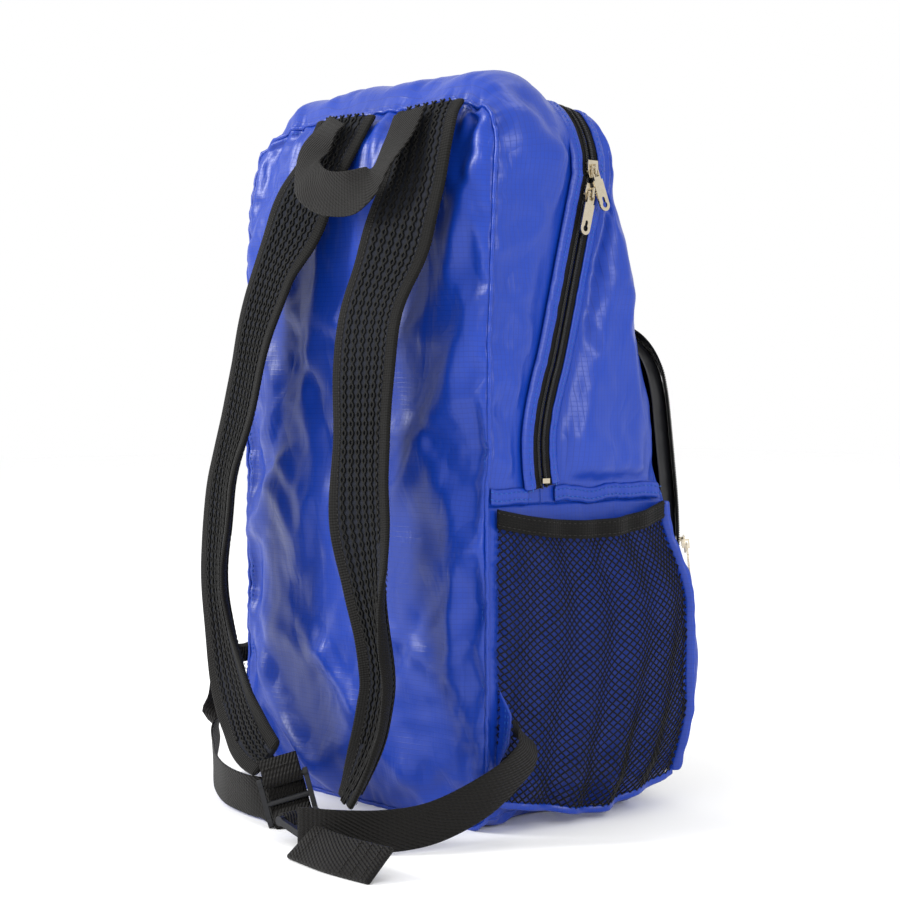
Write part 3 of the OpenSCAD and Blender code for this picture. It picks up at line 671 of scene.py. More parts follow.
def makeBag():
    places, faces, sides = softBoxGrid(bag["cells"])
    nx, ny, nz = bag["cells"]
    i, k, j = places[:, 0], places[:, 1], places[:, 2]
    half, high, zipRow = bag["halfWidth"], bag["height"], bag["zipRow"]
    x = (i / nx * 2 - 1) * half
    z = j / nz * high
    flatX, flatZ = x.copy(), z.copy()
    x, z = roundedOutline(x, z, half, 0, high, bag["topRadius"], bag["bottomRadius"])
    rear, mid, far = keyed(z, backKeys), keyed(z, zipKeys), keyed(z, frontKeys)
    d = np.where(k <= zipRow, rear + (mid - rear) * k / zipRow, mid + (far - mid) * (k - zipRow) / (ny - zipRow))
    belt = (i == 0) | (i == nx) | (j == 0) | (j == nz)
    inFront = (k == ny)
    top = keyed(d, topKeys)
    z = np.where(belt & (z > top), top, z)
    z = np.where(inFront & ~belt, np.minimum(z, 400 + (z - 400) * (436 - 400) / 56.0), z)
    p = np.stack([x, -75 + d, z - bag["frontTip"] * np.maximum(0, d - mid) * smoothStep(z, 442, 448)], 1)
    zipPins = belt & (k == zipRow) & (z >= bag["zipEnd"] - 3)
    backPins = belt & (k == 0)
    drop = bag["seamDrop"] * np.clip((z - 425) / 25, 0, 1) ** 2   # the top seam sits under a roll of cloth
    p[:, 2] -= drop * np.clip(1 - k / 2.0, 0, 1)
    seamRow = int(round(bag["sideSeam"] / high * nz))
    seamPins = belt & (j == seamRow)
    pairs = neighbours(faces, len(p))
    byZip = belt & (z > 402) & (np.abs(d - mid) < 15)
    p = relax(p, pairs, zipPins | backPins | byZip | (seamPins & (k < ny - 6)), bag["rounding"])
    full = cornerFullness(p[:, 2])
    p[:, 0] += np.sign(p[:, 0]) * bag["sideFull"] * full * smoothStep(p[:, 1], -20, 75) * smoothStep(np.abs(p[:, 0]), 60, 118)
    p[:, 1] += bag["frontFull"] * full * smoothStep(p[:, 1], 0, 85) * smoothStep(np.abs(p[:, 0]), 116, 127)
    work = newObject("bag_shell", p, faces, "ripstop")
    turnOutward(work)
    faces = [list(f.vertices) for f in work.data.polygons]
    pins = np.where(zipPins | backPins, 1.0, 0.0)
    pins = np.maximum(pins, np.where(seamPins & (k < ny - 3), 1.0, 0.0))
    found = blowOut(work, pins, bag)
    step = found - p
    size = np.linalg.norm(step, axis=1, keepdims=True)
    free = smoothStep(nearest(p, evenly(zipSideLine(), 2.0)[1])[0], *bag["flatByZip"])[:, None]
    p = p + step * np.minimum(1.0, bag["mostMove"] / np.maximum(size, 1e-6)) * free
    bpy.data.objects.remove(work)
    # the gusset rolls up as a soft roll each side of the zip, over the back seam
    toZip = nearest(p, evenly(zipSideLine(), 2.0)[1])[0]
    high = smoothStep(p[:, 2], 385, 436) * (p[:, 1] < 45)
    roll = bag["topPuff"] * high * smoothStep(toZip, 9, 30) * smoothStep(k, 0, 3) * belt
    p = p + pointNormals(p, faces) * roll[:, None]
    return p, faces, sides, places, pairs, (flatX, flatZ), (zipPins, backPins, seamPins, belt)


bagShell = makeBag()
print("bag shell blown out:", len(bagShell[0]), "points")


# Creases, puckers along the seams, and the cut into panels
creasing = {"broad": 3.4, "fold": 4.0, "fine": 1.3, "seamPucker": 1.6, "zipPucker": 1.6, "topGather": 2.2,
            "puckerLength": 13.0, "calmByZip": (10.0, 26.0), "sideRoom": 121.6, "underPocket": 1.2,
            # start, end, height and half width of the long folds on the back, as (across, height)
            "longFolds": [((-118, 105), (-30, 12), 5.0, 13), ((-70, 130), (78, 4), 5.5, 14), ((-96, 60), (-20, 6), 4.0, 10),
                          ((88, 150), (20, 60), -4.0, 12), ((-60, 300), (10, 180), -4.5, 18), ((112, 300), (40, 190), 4.0, 14),
                          ((118, 420), (88, 330), 4.0, 11), ((30, 330), (96, 420), -3.0, 10), ((-112, 250), (-40, 190), 3.5, 12),
                          ((104, 90), (10, 130), 4.0, 11)]}
panelNames = ["back_panel", "front_panel", "side_panel_left", "side_panel_right", "bottom_panel", "rear_gusset",
              "front_gusset"]


def perimeter(places, cells, row):   # indices round one row of the belt, from the lower left corner
    nx, ny, nz = cells
    where = {tuple(v): n for n, v in enumerate(places)}
    order = ([(a, row, 0) for a in range(nx)] + [(nx, row, b) for b in range(nz)]
             + [(a, row, nz) for a in range(nx, 0, -1)] + [(0, row, b) for b in range(nz, 0, -1)])
    return [where[v] for v in order], order


def clothUvs(faces, sides, places, cells, p, flat, depth):   # flat cutting coordinates of each panel, in mm
    ring, order = perimeter(places, cells, 0)
    loop = p[ring + ring[:1]]
    s = np.concatenate([[0], np.cumsum(np.linalg.norm(np.diff(loop, axis=0), axis=1))])
    total = s[-1]
    along = {(a, b): s[n] for n, (a, _, b) in enumerate(order)}
    uvs = []
    for face, side in zip(faces, sides):
        if side in ("back", "front"):
            uvs += [(flat[0][v], flat[1][v]) for v in face]
            continue
        here = [along[(places[v][0], places[v][2])] for v in face]
        if max(here) - min(here) > total / 2:
            here = [h + total if h < total / 2 else h for h in here]
        uvs += [(h, depth[v]) for h, v in zip(here, face)]
    return np.array(uvs), ring


def asShell(name, p, faces, uvs, regions, count, material):   # one closed mesh whose material index is its panel
    piece = newObject(name, p, faces, material, uvs)
    for _ in range(count - 1):
        piece.data.materials.append(cloth[material])
    piece.data.polygons.foreach_set("material_index", regions)
    turnOutward(piece)
    return finish(piece, ("SUBSURF", {"levels": 1, "render_levels": 1}))


def cutPanels(shell, names, material, thick):
    mesh = shell.data
    p = np.empty(len(mesh.vertices) * 3)
    mesh.vertices.foreach_get("co", p)
    p = p.reshape(-1, 3)
    corners = np.empty(len(mesh.loops), int)
    mesh.loops.foreach_get("vertex_index", corners)
    corners = corners.reshape(-1, 4)
    uv = np.empty(len(mesh.loops) * 2)
    mesh.uv_layers["cloth"].data.foreach_get("uv", uv)
    uv = uv.reshape(-1, 4, 2)
    region = np.empty(len(mesh.polygons), int)
    mesh.polygons.foreach_get("material_index", region)
    made = {}
    for number, name in enumerate(names):
        if not name:
            continue
        mine = region == number
        used, back = np.unique(corners[mine], return_inverse=True)
        piece = newObject(name, p[used] / mm, back.reshape(-1, 4).tolist(), material, uv[mine].reshape(-1, 2))
        finish(piece, ("SOLIDIFY", {"thickness": thick * mm, "offset": -1.0}))
        a, b, c, d = (uv[mine][:, n] for n in range(4))
        e, f = c - a, d - b
        area = abs(e[:, 0] * f[:, 1] - e[:, 1] * f[:, 0]).sum() / 2 * mm * mm
        size = (uv[mine].reshape(-1, 2).max(0) - uv[mine].reshape(-1, 2).min(0)) * mm
        made[name] = (piece, tuple(float(v) for v in size), float(area))
    bpy.data.objects.remove(shell)
    return made


def makePanels():
    p, faces, sides, places, pairs, flat, pinned = bagShell
    zipPins, backPins, seamPins, belt = pinned
    cells = bag["cells"]
    zipRow, seamRow = bag["zipRow"], int(round(bag["sideSeam"] / bag["height"] * cells[2]))
    uvs, ring = clothUvs(faces, sides, places, cells, p, flat, p[:, 1] + 75)
    regions = []
    for face, side in zip(faces, sides):
        row = min(places[v][2] for v in face)
        near = min(places[v][1] for v in face)
        if side == "back":
            regions.append(0)
        elif side == "front":
            regions.append(1)
        elif row >= seamRow:
            regions.append(5 if near < zipRow else 6)
        else:
            regions.append(4 if side == "bottom" else 2 if side == "left" else 3)
    n = pointNormals(p, faces)
    n = n * np.sign(np.sum(n * (p - [0, 0, 220]), 1, keepdims=True))
    zipLine = evenly(zipSideLine(), 2.0)[1]
    toZip, alongZip = nearest(p, zipLine)
    toBack, alongBack = nearest(p, p[ring])
    seamLine = np.array([[s * 125, y, bag["sideSeam"]] for s in (-1, 1) for y in range(-75, 80, 2)], float)
    toSeam, alongSeam = nearest(p, seamLine)
    calm = smoothStep(toZip, *creasing["calmByZip"])
    wave = 2 * pi / creasing["puckerLength"]
    uneven = cloud(p, 28, 3) * 2.4
    lift = creasing["broad"] * cloud(p, 85, 1) + creasing["fold"] * (creases(p, 62, 2, (1, 1, 0.75)) - 0.5)
    lift += creasing["fine"] * (creases(p, 26, 5) - 0.5)
    lift = lift * calm * smoothStep(toBack, 1, 14)
    lift += creasing["seamPucker"] * np.exp(-toBack / 9) * np.sin(alongBack * wave + uneven)
    lift += creasing["zipPucker"] * np.exp(-np.maximum(toZip - 14, 0) / 9) * np.sin(alongZip * wave + uneven) * calm
    lift += creasing["seamPucker"] * np.exp(-toSeam / 8) * np.sin(alongSeam * wave + uneven) * (toSeam < 30) * calm
    onBack = (places[:, 1] == 0) & (p[:, 2] > 300)
    lift += onBack * creasing["topGather"] * smoothStep(p[:, 2], 360, 446) * np.sin(p[:, 0] * 2 * pi / 15 + uneven * 2)
    for (x0, z0), (x1, z1), high, wide in creasing["longFolds"]:
        along = np.array([x1 - x0, z1 - z0])
        q = p[:, [0, 2]] - [x0, z0]
        t = np.clip(q @ along / (along @ along), 0, 1)
        off = np.linalg.norm(q - t[:, None] * along, axis=1)
        lift += (places[:, 1] == 0) * high * np.maximum(0, 1 - off / wide) ** 1.3 * np.sin(pi * (0.08 + 0.84 * t))
    p = p + n * lift[:, None]
    p[:, 2] = np.maximum(p[:, 2], 0.3)
    held = (p[:, 2] < 215) | (toZip < 22)   # cloth behind the pockets, the bands and the zip stays inside them
    room = creasing["sideRoom"] + bag["sideFull"] * cornerFullness(p[:, 2]) * smoothStep(p[:, 1], -20, 75)
    over = np.maximum(np.abs(p[:, 0]) - room, 0)
    p[:, 0] = np.where(held, np.sign(p[:, 0]) * (np.minimum(np.abs(p[:, 0]), room)
                                                 + 3.0 * (1 - np.exp(-over / 7))), p[:, 0])
    # cloth behind the front pocket lies under it
    inner = 1 - smoothStep(np.abs(p[:, 0]), 110, 119)
    inner *= smoothStep(p[:, 2], 6, 16) * (1 - smoothStep(p[:, 2], 300, 310)) * (p[:, 1] > 0)
    wall = -75 + keyed(p[:, 2], frontKeys) + creasing["underPocket"]
    p[:, 1] = np.where(p[:, 1] > wall, p[:, 1] + (wall - p[:, 1]) * inner, p[:, 1])
    shell = asShell("bag", p, faces, uvs, regions, len(panelNames), "ripstop")
    seam = np.array([shell.data.vertices[v].co for v in ring]) / mm
    return cutPanels(shell, panelNames, "ripstop", bag["clothThick"]), seam


panels, backSeam = makePanels()
for panelName, (piece, flatSize, flatArea) in panels.items():
    show(piece, "pack", "ripstop", panelName)
print("panels cut:", len(panels))


# The raised seam round the back, and stitching beside it
seamEdge = {"outward": 1.5, "thick": 1.1, "stitchIn": 3.0}


def makeBackSeam():
    line = np.concatenate([backSeam, backSeam[:2]])
    s, p = evenly(line, 3.0)
    t = unit(np.gradient(p, axis=0))
    rise = np.tile([0.0, -1.0, 0.0], (len(p), 1))
    rise = unit(rise - t * np.sum(rise * t, 1, keepdims=True))
    across = unit(np.cross(t, rise))
    across = across * np.sign(np.sum(across * (p - [0, -75, 220]), 1, keepdims=True))
    wob = 1 + 0.25 * np.sin(s * 0.7) * np.sin(s * 0.13)
    a, b = seamEdge["outward"], seamEdge["thick"]
    sections = [[(a * w * (0.55 + cos(q)), b * sin(q)) for q in np.linspace(0, 2 * pi, 9)[:-1]] for w in wob]
    piece = sweep("back_seam_piping", s, p, across, rise, sections, "ripstop")
    show(piece, "pack", "ripstop", "back_piping")
    rows = p - across * seamEdge["stitchIn"] + rise * 0.35
    show(stitches("back_seam_stitches", [rows], [rise], "blueThread", 2.2, 3.4, 0.6, 0.5), "pack", "ripstop")


makeBackSeam()
print("back seam made")


# Zips: woven tape, coil, folded edges of the cloth beside it and their topstitching
zipMake = {"slit": 1.0, "tapeEdge": 12.5, "tapeRise": (0.2, 0.95), "weltIn": 6.6, "weltOut": 15.0,
           "toothPitch": 1.55, "toothLength": 2.6, "toothAt": 2.15, "toothRise": 1.75, "slant": 24}


def zipFrame(line, across, step=2.0):
    s, p, a = evenly(smoothLine(line, 3), step, smoothLine(across, 3))
    t = unit(np.gradient(p, axis=0))
    a = unit(a - t * np.sum(a * t, 1, keepdims=True))
    return s, p, t, a, unit(np.cross(t, a))


def makeZip(name, line, across, body, weltPiece, replaced):
    s, p, t, a, up = zipFrame(line, across)
    outward = np.sign(np.sum(up * (p - [0, 5, 230]), 1, keepdims=True))
    up = up * outward
    low, high = zipMake["tapeRise"]
    bands = []
    for side in (-1, 1):
        e0, e1 = sorted((side * zipMake["slit"], side * zipMake["tapeEdge"]))
        ring = [(e0, low), (e1, low), (e1, high), (e0, high)]
        bands.append(sweep(name, s, p, a, up, [ring] * len(s), "tape"))
    tape = join(name + "_tape", bands)
    show(tape, body, "zip_tape", replaced[0])
    core = [sweep(name, s, p, a, up, [[(o - 0.9, 0.9), (o + 0.9, 0.9), (o + 0.9, 1.5), (o - 0.9, 1.5)]] * len(s),
                  "coil") for o in (-zipMake["toothAt"], zipMake["toothAt"])]
    cord = join(name + "_coil_cord", core)
    show(cord, body, "zip_coil")
    lines, outs, lays = [], [], []
    fine = evenly(p, 1.0, t, a, up)[1:]
    for side in (-1, 1):
        q = radians(zipMake["slant"])
        lines.append(fine[0] + fine[2] * side * zipMake["toothAt"] + fine[3] * zipMake["toothRise"])
        outs.append(fine[3])
        lays.append(fine[2] * side * cos(q) + fine[1] * sin(q))
    teeth = grow(wire(name + "_coil", lines, outs, lays), beads, "coil", Spacing=zipMake["toothPitch"] * mm,
                 Length=zipMake["toothLength"] * mm, Width=1.05 * mm, Height=1.25 * mm)
    show(teeth, body, "zip_coil", replaced[1])
    if not weltPiece:
        return s, p, t, a, up
    welts, stitchLines, stitchOuts = [], [], []
    for side in (-1, 1):
        edge, wide = zipMake["weltIn"], zipMake["weltOut"]
        wob = np.array([noise.noise((x / 11, side * 5.0, 2.0)) for x in s])
        puff = np.array([noise.noise((x / 6, side * 9.0, 7.0)) for x in s])
        ring = [[(side * (edge + 0.5 * w), 0.9), (side * (edge + 0.2 + 0.5 * w), 2.0 + 0.5 * f),
                 (side * (edge + 1.6), 2.5 + 0.7 * f), (side * (edge + 3.4), 1.7), (side * (edge + 5.6), 2.0 + 0.9 * f),
                 (side * wide, 0.1), (side * wide, -0.8), (side * (edge + 3.0), 0.2)] for w, f in zip(wob, puff)]
        welts.append(sweep(name, s, p, a, up, ring, "ripstop"))
        stitchLines.append(p + a * side * (edge + 3.4) + up * 1.9)
        stitchOuts.append(up)
    welt = finish(join(weltPiece, welts), ("SUBSURF", {"levels": 1, "render_levels": 1}))
    show(welt, body, "ripstop")
    show(stitches(name + "_stitches", stitchLines, stitchOuts, "blueThread", 2.6, 3.5, 0.75, 0.7), body, "ripstop")
    return s, p, t, a, up


mainLine = zipSideLine()
mainAcross = np.array([(0.0, -1.0, bag["frontTip"] * smoothStep(q[2], 442, 448)) for q in mainLine])
makeZip("main_zip", mainLine, mainAcross, "pack", "main_zip_welts", ("main_zip_tape", "main_zip_coil"))
print("main zip made")


def bevelled(node, name, material, width=0.22, segments=2, body=None, slot=None):   # softened copy of a CAD piece
    source = nodes[node]
    work = bmesh.new()
    work.from_mesh(source.data)
    bmesh.ops.remove_doubles(work, verts=work.verts, dist=1e-6)
    mesh = bpy.data.meshes.new(name)
    work.to_mesh(mesh)
    work.free()
    mesh.materials.clear()
    mesh.materials.append(cloth[material])
    piece = bpy.data.objects.new(name, mesh)
    scene.collection.objects.link(piece)
    finish(piece, ("BEVEL", {"width": width * mm, "segments": segments, "limit_method": "ANGLE",
                             "angle_limit": radians(35), "use_clamp_overlap": True}))
    piece.data.polygons.foreach_set("use_smooth", [True] * len(piece.data.polygons))
    finish(piece, ("WEIGHTED_NORMAL", {"keep_sharp": True}))
    return show(piece, body or source["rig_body"], slot, node)


for node in ("slider_upper", "slider_lower", "front_slider", "pull_upper", "pull_lower", "front_pull"):
    bevelled(node, node + "_cast", "alloy", 0.22, 2, slot="zip_metal")
nodes["main_zip_stops"].data.materials.clear()
nodes["main_zip_stops"].data.materials.append(cloth["alloy"])
for node in ("ladder_lock_left", "ladder_lock_right"):
    bevelled(node, node + "_moulded", "acetal", 0.5, 2, slot="buckle_plastic")
print("sliders and ladder locks finished")


# Shoulder straps: one padded piece from the top seam to the buckle, netted, bound and stitched
level = (1, 0, 0)
strapRoutes = {   # point, width, direction across
    "right": [
        (out(66, -5, 445), 62, level), (out(67, 1, 434), 62, level), (out(72, 9, 415), 62, level),
        (out(74, 17, 393), 62, level), (out(71, 24, 371), 62, level), (out(66, 29, 346), 62, level),
        (out(61, 37, 316), 60, level), (out(61, 43, 281), 58, level), (out(62, 46, 246), 56, level),
        (out(63, 47, 214), 55, level), (out(65, 47, 184), 54, level), (out(71, 46, 153), 50, (1, -0.1, 0)),
        (out(81, 46, 122), 46, (1, -0.3, 0)), (out(89, 49, 96), 44, (1, -0.35, 0)),
        (out(93, 56, 77), 42, (1, -0.3, 0)), (out(96, 65, 58), 38, (1, -0.25, 0)),
        (out(95, 75, 39), 32, (1, -0.25, 0.1)), (out(91, 81, 25), 26, (1, -0.3, 0.1))],
    "left": [
        (out(-18, -5, 446), 62, level), (out(-19, 1, 435), 62, level), (out(-24, 8, 417), 62, level),
        (out(-31, 15, 398), 62, level), (out(-41, 21, 374), 62, level), (out(-52, 27, 348), 60, (1, -0.12, 0)),
        (out(-60, 34, 314), 58, (1, -0.22, 0)), (out(-65, 40, 280), 56, (1, -0.26, 0)),
        (out(-72, 43, 250), 55, (1, -0.3, 0)), (out(-80, 45, 222), 54, (1, -0.33, 0)),
        (out(-86, 46, 196), 54, (1, -0.33, 0)), (out(-90, 46, 156), 52, (1, -0.33, 0)),
        (out(-84, 47, 118), 50, (1, -0.33, 0)), (out(-66, 54, 85), 48, (1, -0.2, 0.1)),
        (out(-37, 64, 60), 42, (1, -0.1, 0.4)), (out(-12, 73, 46), 34, (0.8, 0.2, 0.6)),
        (out(8, 78, 39), 26, (0.7, 0.4, 0.7))],
}
strapMake = {"middle": 2.3, "edge": 1.2, "binding": 9.5, "bindingOver": 0.55, "cellAlong": 5.6, "cellAcross": 3.9,
             "strand": 0.8, "seed": 11,
             "curl": {"right": ((0, 0.0), (0.5, 0.15), (0.68, 0.5), (0.8, 1.1), (0.93, 0.9), (1, 0.3)),
                      "left": ((0, 0.0), (0.4, 0.2), (0.65, 0.45), (0.85, 0.6), (1, 0.2))}}


def curled(a, b, half, curl):   # bends a flat section about its length: curl is the turn from middle to edge
    if abs(curl) < 1e-4:
        return a, b
    r = half / curl
    return (r + b) * np.sin(a / r), (r + b) * np.cos(a / r) - r


def padThick(a, half):
    return strapMake["edge"] + (strapMake["middle"] - strapMake["edge"]) * max(0.0, 1 - abs(a / half) ** 3)


def makeStrap(side):
    s, p, w, a, up = frameAlong(strapRoutes[side], 4.0)
    up = up * np.where(np.sum(up * [0, -1, 0], 1, keepdims=True) > -0.3, 1, -1)
    n, share = len(s), s / s[-1]
    half = w / 2
    curl = np.interp(share, *zip(*strapMake["curl"][side]))
    wob = np.array([[noise.noise((x / 60, 3.0 + k, len(side))) for x in s] for k in range(4)])
    p = p + up * (wob[0] * 2.0)[:, None] * smoothStep(share, 0.02, 0.2)[:, None]
    roll = wob[1] * 0.12
    a, up = unit(a + up * roll[:, None]), unit(up - a * roll[:, None])

    def place(i, across, rise):   # a point on ring i, given flat and then curled
        x, y = curled(across, rise, half[i], -curl[i])
        return p[i] + a[i] * x + up[i] * y

    def ringOf(i, profile):
        return [tuple(curled(x, y, half[i], -curl[i])) for x, y in profile]

    grid = np.linspace(-1, 1, 13)
    pad, bindings = [], {-1: [], 1: []}
    for i in range(n):
        h = half[i]
        top = [(q * h, padThick(q * h, h) + 0.35 * wob[2, i]) for q in grid]
        pad.append(ringOf(i, top + [(x, -y) for x, y in top[::-1]]))
        for e in (-1, 1):
            inner = min(strapMake["binding"], h * 0.8)
            over = strapMake["bindingOver"] + 0.15 * wob[3, i]
            t0, t1 = padThick(h - inner, h) + over, strapMake["edge"] + over
            prof = [(h - inner, t0), (h - inner * 0.55, t1 + 0.25), (h - 1.4, t1 + 0.1), (h + 0.2, t1 * 0.6),
                    (h + 0.7, 0), (h + 0.2, -t1 * 0.6), (h - 1.4, -t1 - 0.1), (h - inner * 0.55, -t1 - 0.25),
                    (h - inner, -t0)]
            bindings[e].append(ringOf(i, [(e * x, y) for x, y in prof]))
    crossing = {"body": "pack", "bodyB": "strap_" + side, "start": tuple(p[np.searchsorted(share, 0.1)] * mm),
                "end": tuple(p[np.searchsorted(share, 0.28)] * mm)}

    def showStrap(piece, slotName, *replaced):
        show(piece, crossing["body"], slotName, *replaced, bodyB=crossing["bodyB"], start=crossing["start"],
             end=crossing["end"])
        return piece

    body = finish(sweep(f"strap_pad_{side}", s, p, a, up, pad, "foam"), ("SUBSURF", {"levels": 1,
                                                                                     "render_levels": 1}))
    showStrap(body, "air_mesh", f"strap_root_{side}", f"strap_pad_{side}")
    edging = join(f"strap_binding_{side}", [
        finish(sweep("edging", s, p, a, up, bindings[e], "binding"), ("SUBSURF", {"levels": 1, "render_levels": 1}))
        for e in (-1, 1)])
    showStrap(edging, "strap_binding", f"strap_binding_{side}")
    # long cells of the net, on both faces
    lines = []
    cell, pitch = strapMake["cellAlong"], strapMake["cellAcross"]
    fine = np.linspace(0, n - 1, int(s[-1] / (cell / 4)) + 1)
    for face in (1, -1):
        for c in range(-7, 8):
            row = []
            for m, f in enumerate(fine):
                i = min(int(f), n - 2)
                t = f - i
                h = half[i] * (1 - t) + half[i + 1] * t
                limit = h - min(strapMake["binding"], h * 0.8) + 1.0
                zig = (0, 1, 1, 0)[m % 4] * (1 if c % 2 else -1) * 0.5 - (0, 0, 0, 0)[m % 4]
                x = (c + zig * 0.8) * pitch * h / 31.0
                if abs(x) > limit:
                    if len(row) > 3:
                        lines.append(np.array(row))
                    row = []
                    continue
                y = face * (padThick(x, h) + 0.45)
                row.append(place(i, x, y) * (1 - t) + place(i + 1, x, y) * t)
            if len(row) > 3:
                lines.append(np.array(row))
    net = grow(wire(f"strap_net_{side}", lines), strands, "airMesh", Radius=strapMake["strand"] * mm)
    showStrap(net, "air_mesh")
    stitchLines, stitchOuts = [], []
    for e in (-1, 1):
        for face in (1, -1):
            q = [place(i, e * (half[i] - min(strapMake["binding"], half[i] * 0.8) + 1.6),
                       face * (padThick(half[i] - 8, half[i]) + 0.95)) for i in range(1, n - 1)]
            stitchLines.append(np.array(q))
            stitchOuts.append(up[1:-1] * face)
    showStrap(stitches(f"strap_stitches_{side}", stitchLines, stitchOuts, "darkThread", 2.4, 3.4, 0.6, 0.5),
              "strap_binding")
    return s, p, w, a, up


strapFrames = {side: makeStrap(side) for side in strapRoutes}
print("straps made")


# Webbing: each strap's band, the right strap's tail and the haul loop; the loops round the ladder locks and the folded
# ends follow in the next part
webWide, webThick = 25.0, 1.5
stand = (0, 0, 1)
webRoutes = {
    "right": [
        (out(80, 109, 13.5), webWide, stand), (out(102, 97, 13.5), webWide, stand),
        (out(120, 76, 13.5), webWide, stand), (out(130, 50, 16), webWide, stand),
        (out(139, 24, 26), webWide, (0.1, 0, 1)), (out(147, 4, 40), webWide, (0.3, -0.2, 1)),
        (out(150, -8, 52), webWide, (0.2, -0.6, 0.9)), (out(145, -12, 61), webWide, (0, -0.8, 0.7)),
        (out(137.5, -9, 66), webWide, (0, -0.7, 0.7))],
    "left": [
        (out(30.5, 74, 3.2), webWide, (0.59, 0.76, 0.2)), (out(20, 70.5, 5.6), webWide, (0.4, 0.85, 0.35)),
        (out(4, 74, 13), webWide, (0.1, 0.3, 0.95)), (out(-18, 76, 13.5), webWide, stand),
        (out(-50, 70, 14), webWide, stand),
        (out(-86, 53, 14), webWide, stand), (out(-118, 33, 15), webWide, stand),
        (out(-140, 18, 22), webWide, (-0.1, 0, 1)), (out(-150, 6, 44), webWide, (-0.2, 0.6, 1)),
        (out(-152, 0, 66), webWide, (0, 0.9, 0.5)), (out(-150, -4, 84), webWide, (0, 1, 0.1)),
        (out(-144, -8, 88), webWide, (0, 1, 0)), (out(-137.5, -9, 78), webWide, (0, 0.9, 0.4))],
}
tailRoute = [(out(92, 115, 8.5), webWide, (0.1, 0.75, 0.62)), (out(130, 119, 8.5), webWide, (0.1, 0.75, 0.62)),
             (out(166, 117, 8.5), webWide, (0.1, 0.75, 0.62))]
haulWide = 28.0
haulRoute = [
    (out(-12, 7.5, 442.6), haulWide, level), (out(-16.5, 14, 434), haulWide, (0.9, 0.2, 0.35)),
    (out(-20, 22, 419), haulWide, (0.5, 0.5, 0.8)), (out(-13, 31, 404), haulWide, (-0.1, 0.4, 1)),
    (out(9, 36, 393), haulWide, (-0.15, 0.1, 1)), (out(36, 37, 390), haulWide, (0.1, 0, 1)),
    (out(56, 36, 395), haulWide, (-0.1, 0.4, 1)), (out(63, 30, 407), haulWide, (-0.7, 0.6, 0.6)),
    (out(63, 18, 424), haulWide, (-1, 0.2, 0.2)), (out(60, 7, 441), haulWide, (-1, 0, 0))]


def makeWebbing(name, route, thick, body, replaced, step=3.0, crown=0.25):   # flat woven band with soft edges
    s, p, w, a, up = frameAlong(route, step)
    wob = np.array([noise.noise((x / 35, 1.0, len(name))) for x in s])
    h, t = w / 2, thick / 2
    ring = [[(-x, t * 0.55), (-x + 0.9, t), (-x / 3, t + crown * f), (x / 3, t + crown * f), (x - 0.9, t),
             (x, t * 0.55), (x, -t * 0.55), (x - 0.9, -t), (x / 3, -t + crown * f), (-x / 3, -t + crown * f),
             (-x + 0.9, -t), (-x, -t * 0.55)] for x, f in zip(h, wob)]
    band = sweep(name, s, p, a, up, ring, "webbing")
    show(band, body, "webbing", *replaced)
    return s, p, w, a, up


def rowAcross(p, a, up, i, h, rise):   # one row of stitches straight across a band
    return p[i] + np.linspace(-h, h, 9)[:, None] * a[i] + up[i] * rise, np.tile(up[i], (9, 1))


for side in ("right", "left"):
    makeWebbing(f"webbing_{side}", webRoutes[side], webThick, "strap_" + side, (f"webbing_{side}",))
tail = makeWebbing("webbing_tail_right", tailRoute, 3.0, "strap_right", ("webbing_tail_right",))
tailRows = [rowAcross(tail[1], tail[3], tail[4], i, 10.5, f * 1.75) for i in (-3, -6, -9, 3) for f in (1, -1)]
show(stitches("tail_stitches_right", [r[0] for r in tailRows],
              [r[1] * (1 if n % 2 == 0 else -1) for n, r in enumerate(tailRows)], "darkThread", 2.0, 2.6, 0.7, 0.6),
     "strap_right", "webbing")
haul = makeWebbing("haul_loop_webbing", haulRoute, webThick, "haul_loop", ("haul_loop",))
print("webbing made")


# Ends of the straps: webbing loops round the ladder locks, and the locks' own folded tail
def lockPlace(at, turns):   # turns a point given in the lock's own frame into place
    m = Matrix.Translation(at)
    for axis, degrees in turns:
        m = m @ Matrix.Rotation(radians(degrees), 4, axis)
    return lambda q: np.array([m @ Vector(v) for v in q])


locks = {
    "left": lockPlace(out(24, 75, 18), [("Z", -41), ("Y", 80), ("Z", 16)]),
    "right": lockPlace(out(64, 87, 9), [("Z", 186), ("Y", -17)]),
}


def bandInLock(name, side, line, wide, thick, body, slotName, replaced=(), **bend):   # band whose width lies across the lock
    line = smoothLine(line, 6)
    flat = np.array([(x, 0.0, z) for x, z in line])
    s, flat = evenly(flat, 1.5)
    p = locks[side](flat)
    a = unit(locks[side]([(0, 1, 0)])[0] - locks[side]([(0, 0, 0)])[0])
    a = np.tile(a, (len(p), 1))
    t = unit(np.gradient(p, axis=0))
    up = unit(np.cross(t, a))
    h, k = wide / 2, thick / 2
    ring = [(-h, k * 0.5), (-h + 0.8, k), (h - 0.8, k), (h, k * 0.5), (h, -k * 0.5), (h - 0.8, -k), (-h + 0.8, -k),
            (-h, -k * 0.5)]
    band = sweep(name, s, p, a, up, [ring] * len(s), "webbing")
    show(band, body, slotName, *replaced, **bend)
    return s, p, a, up


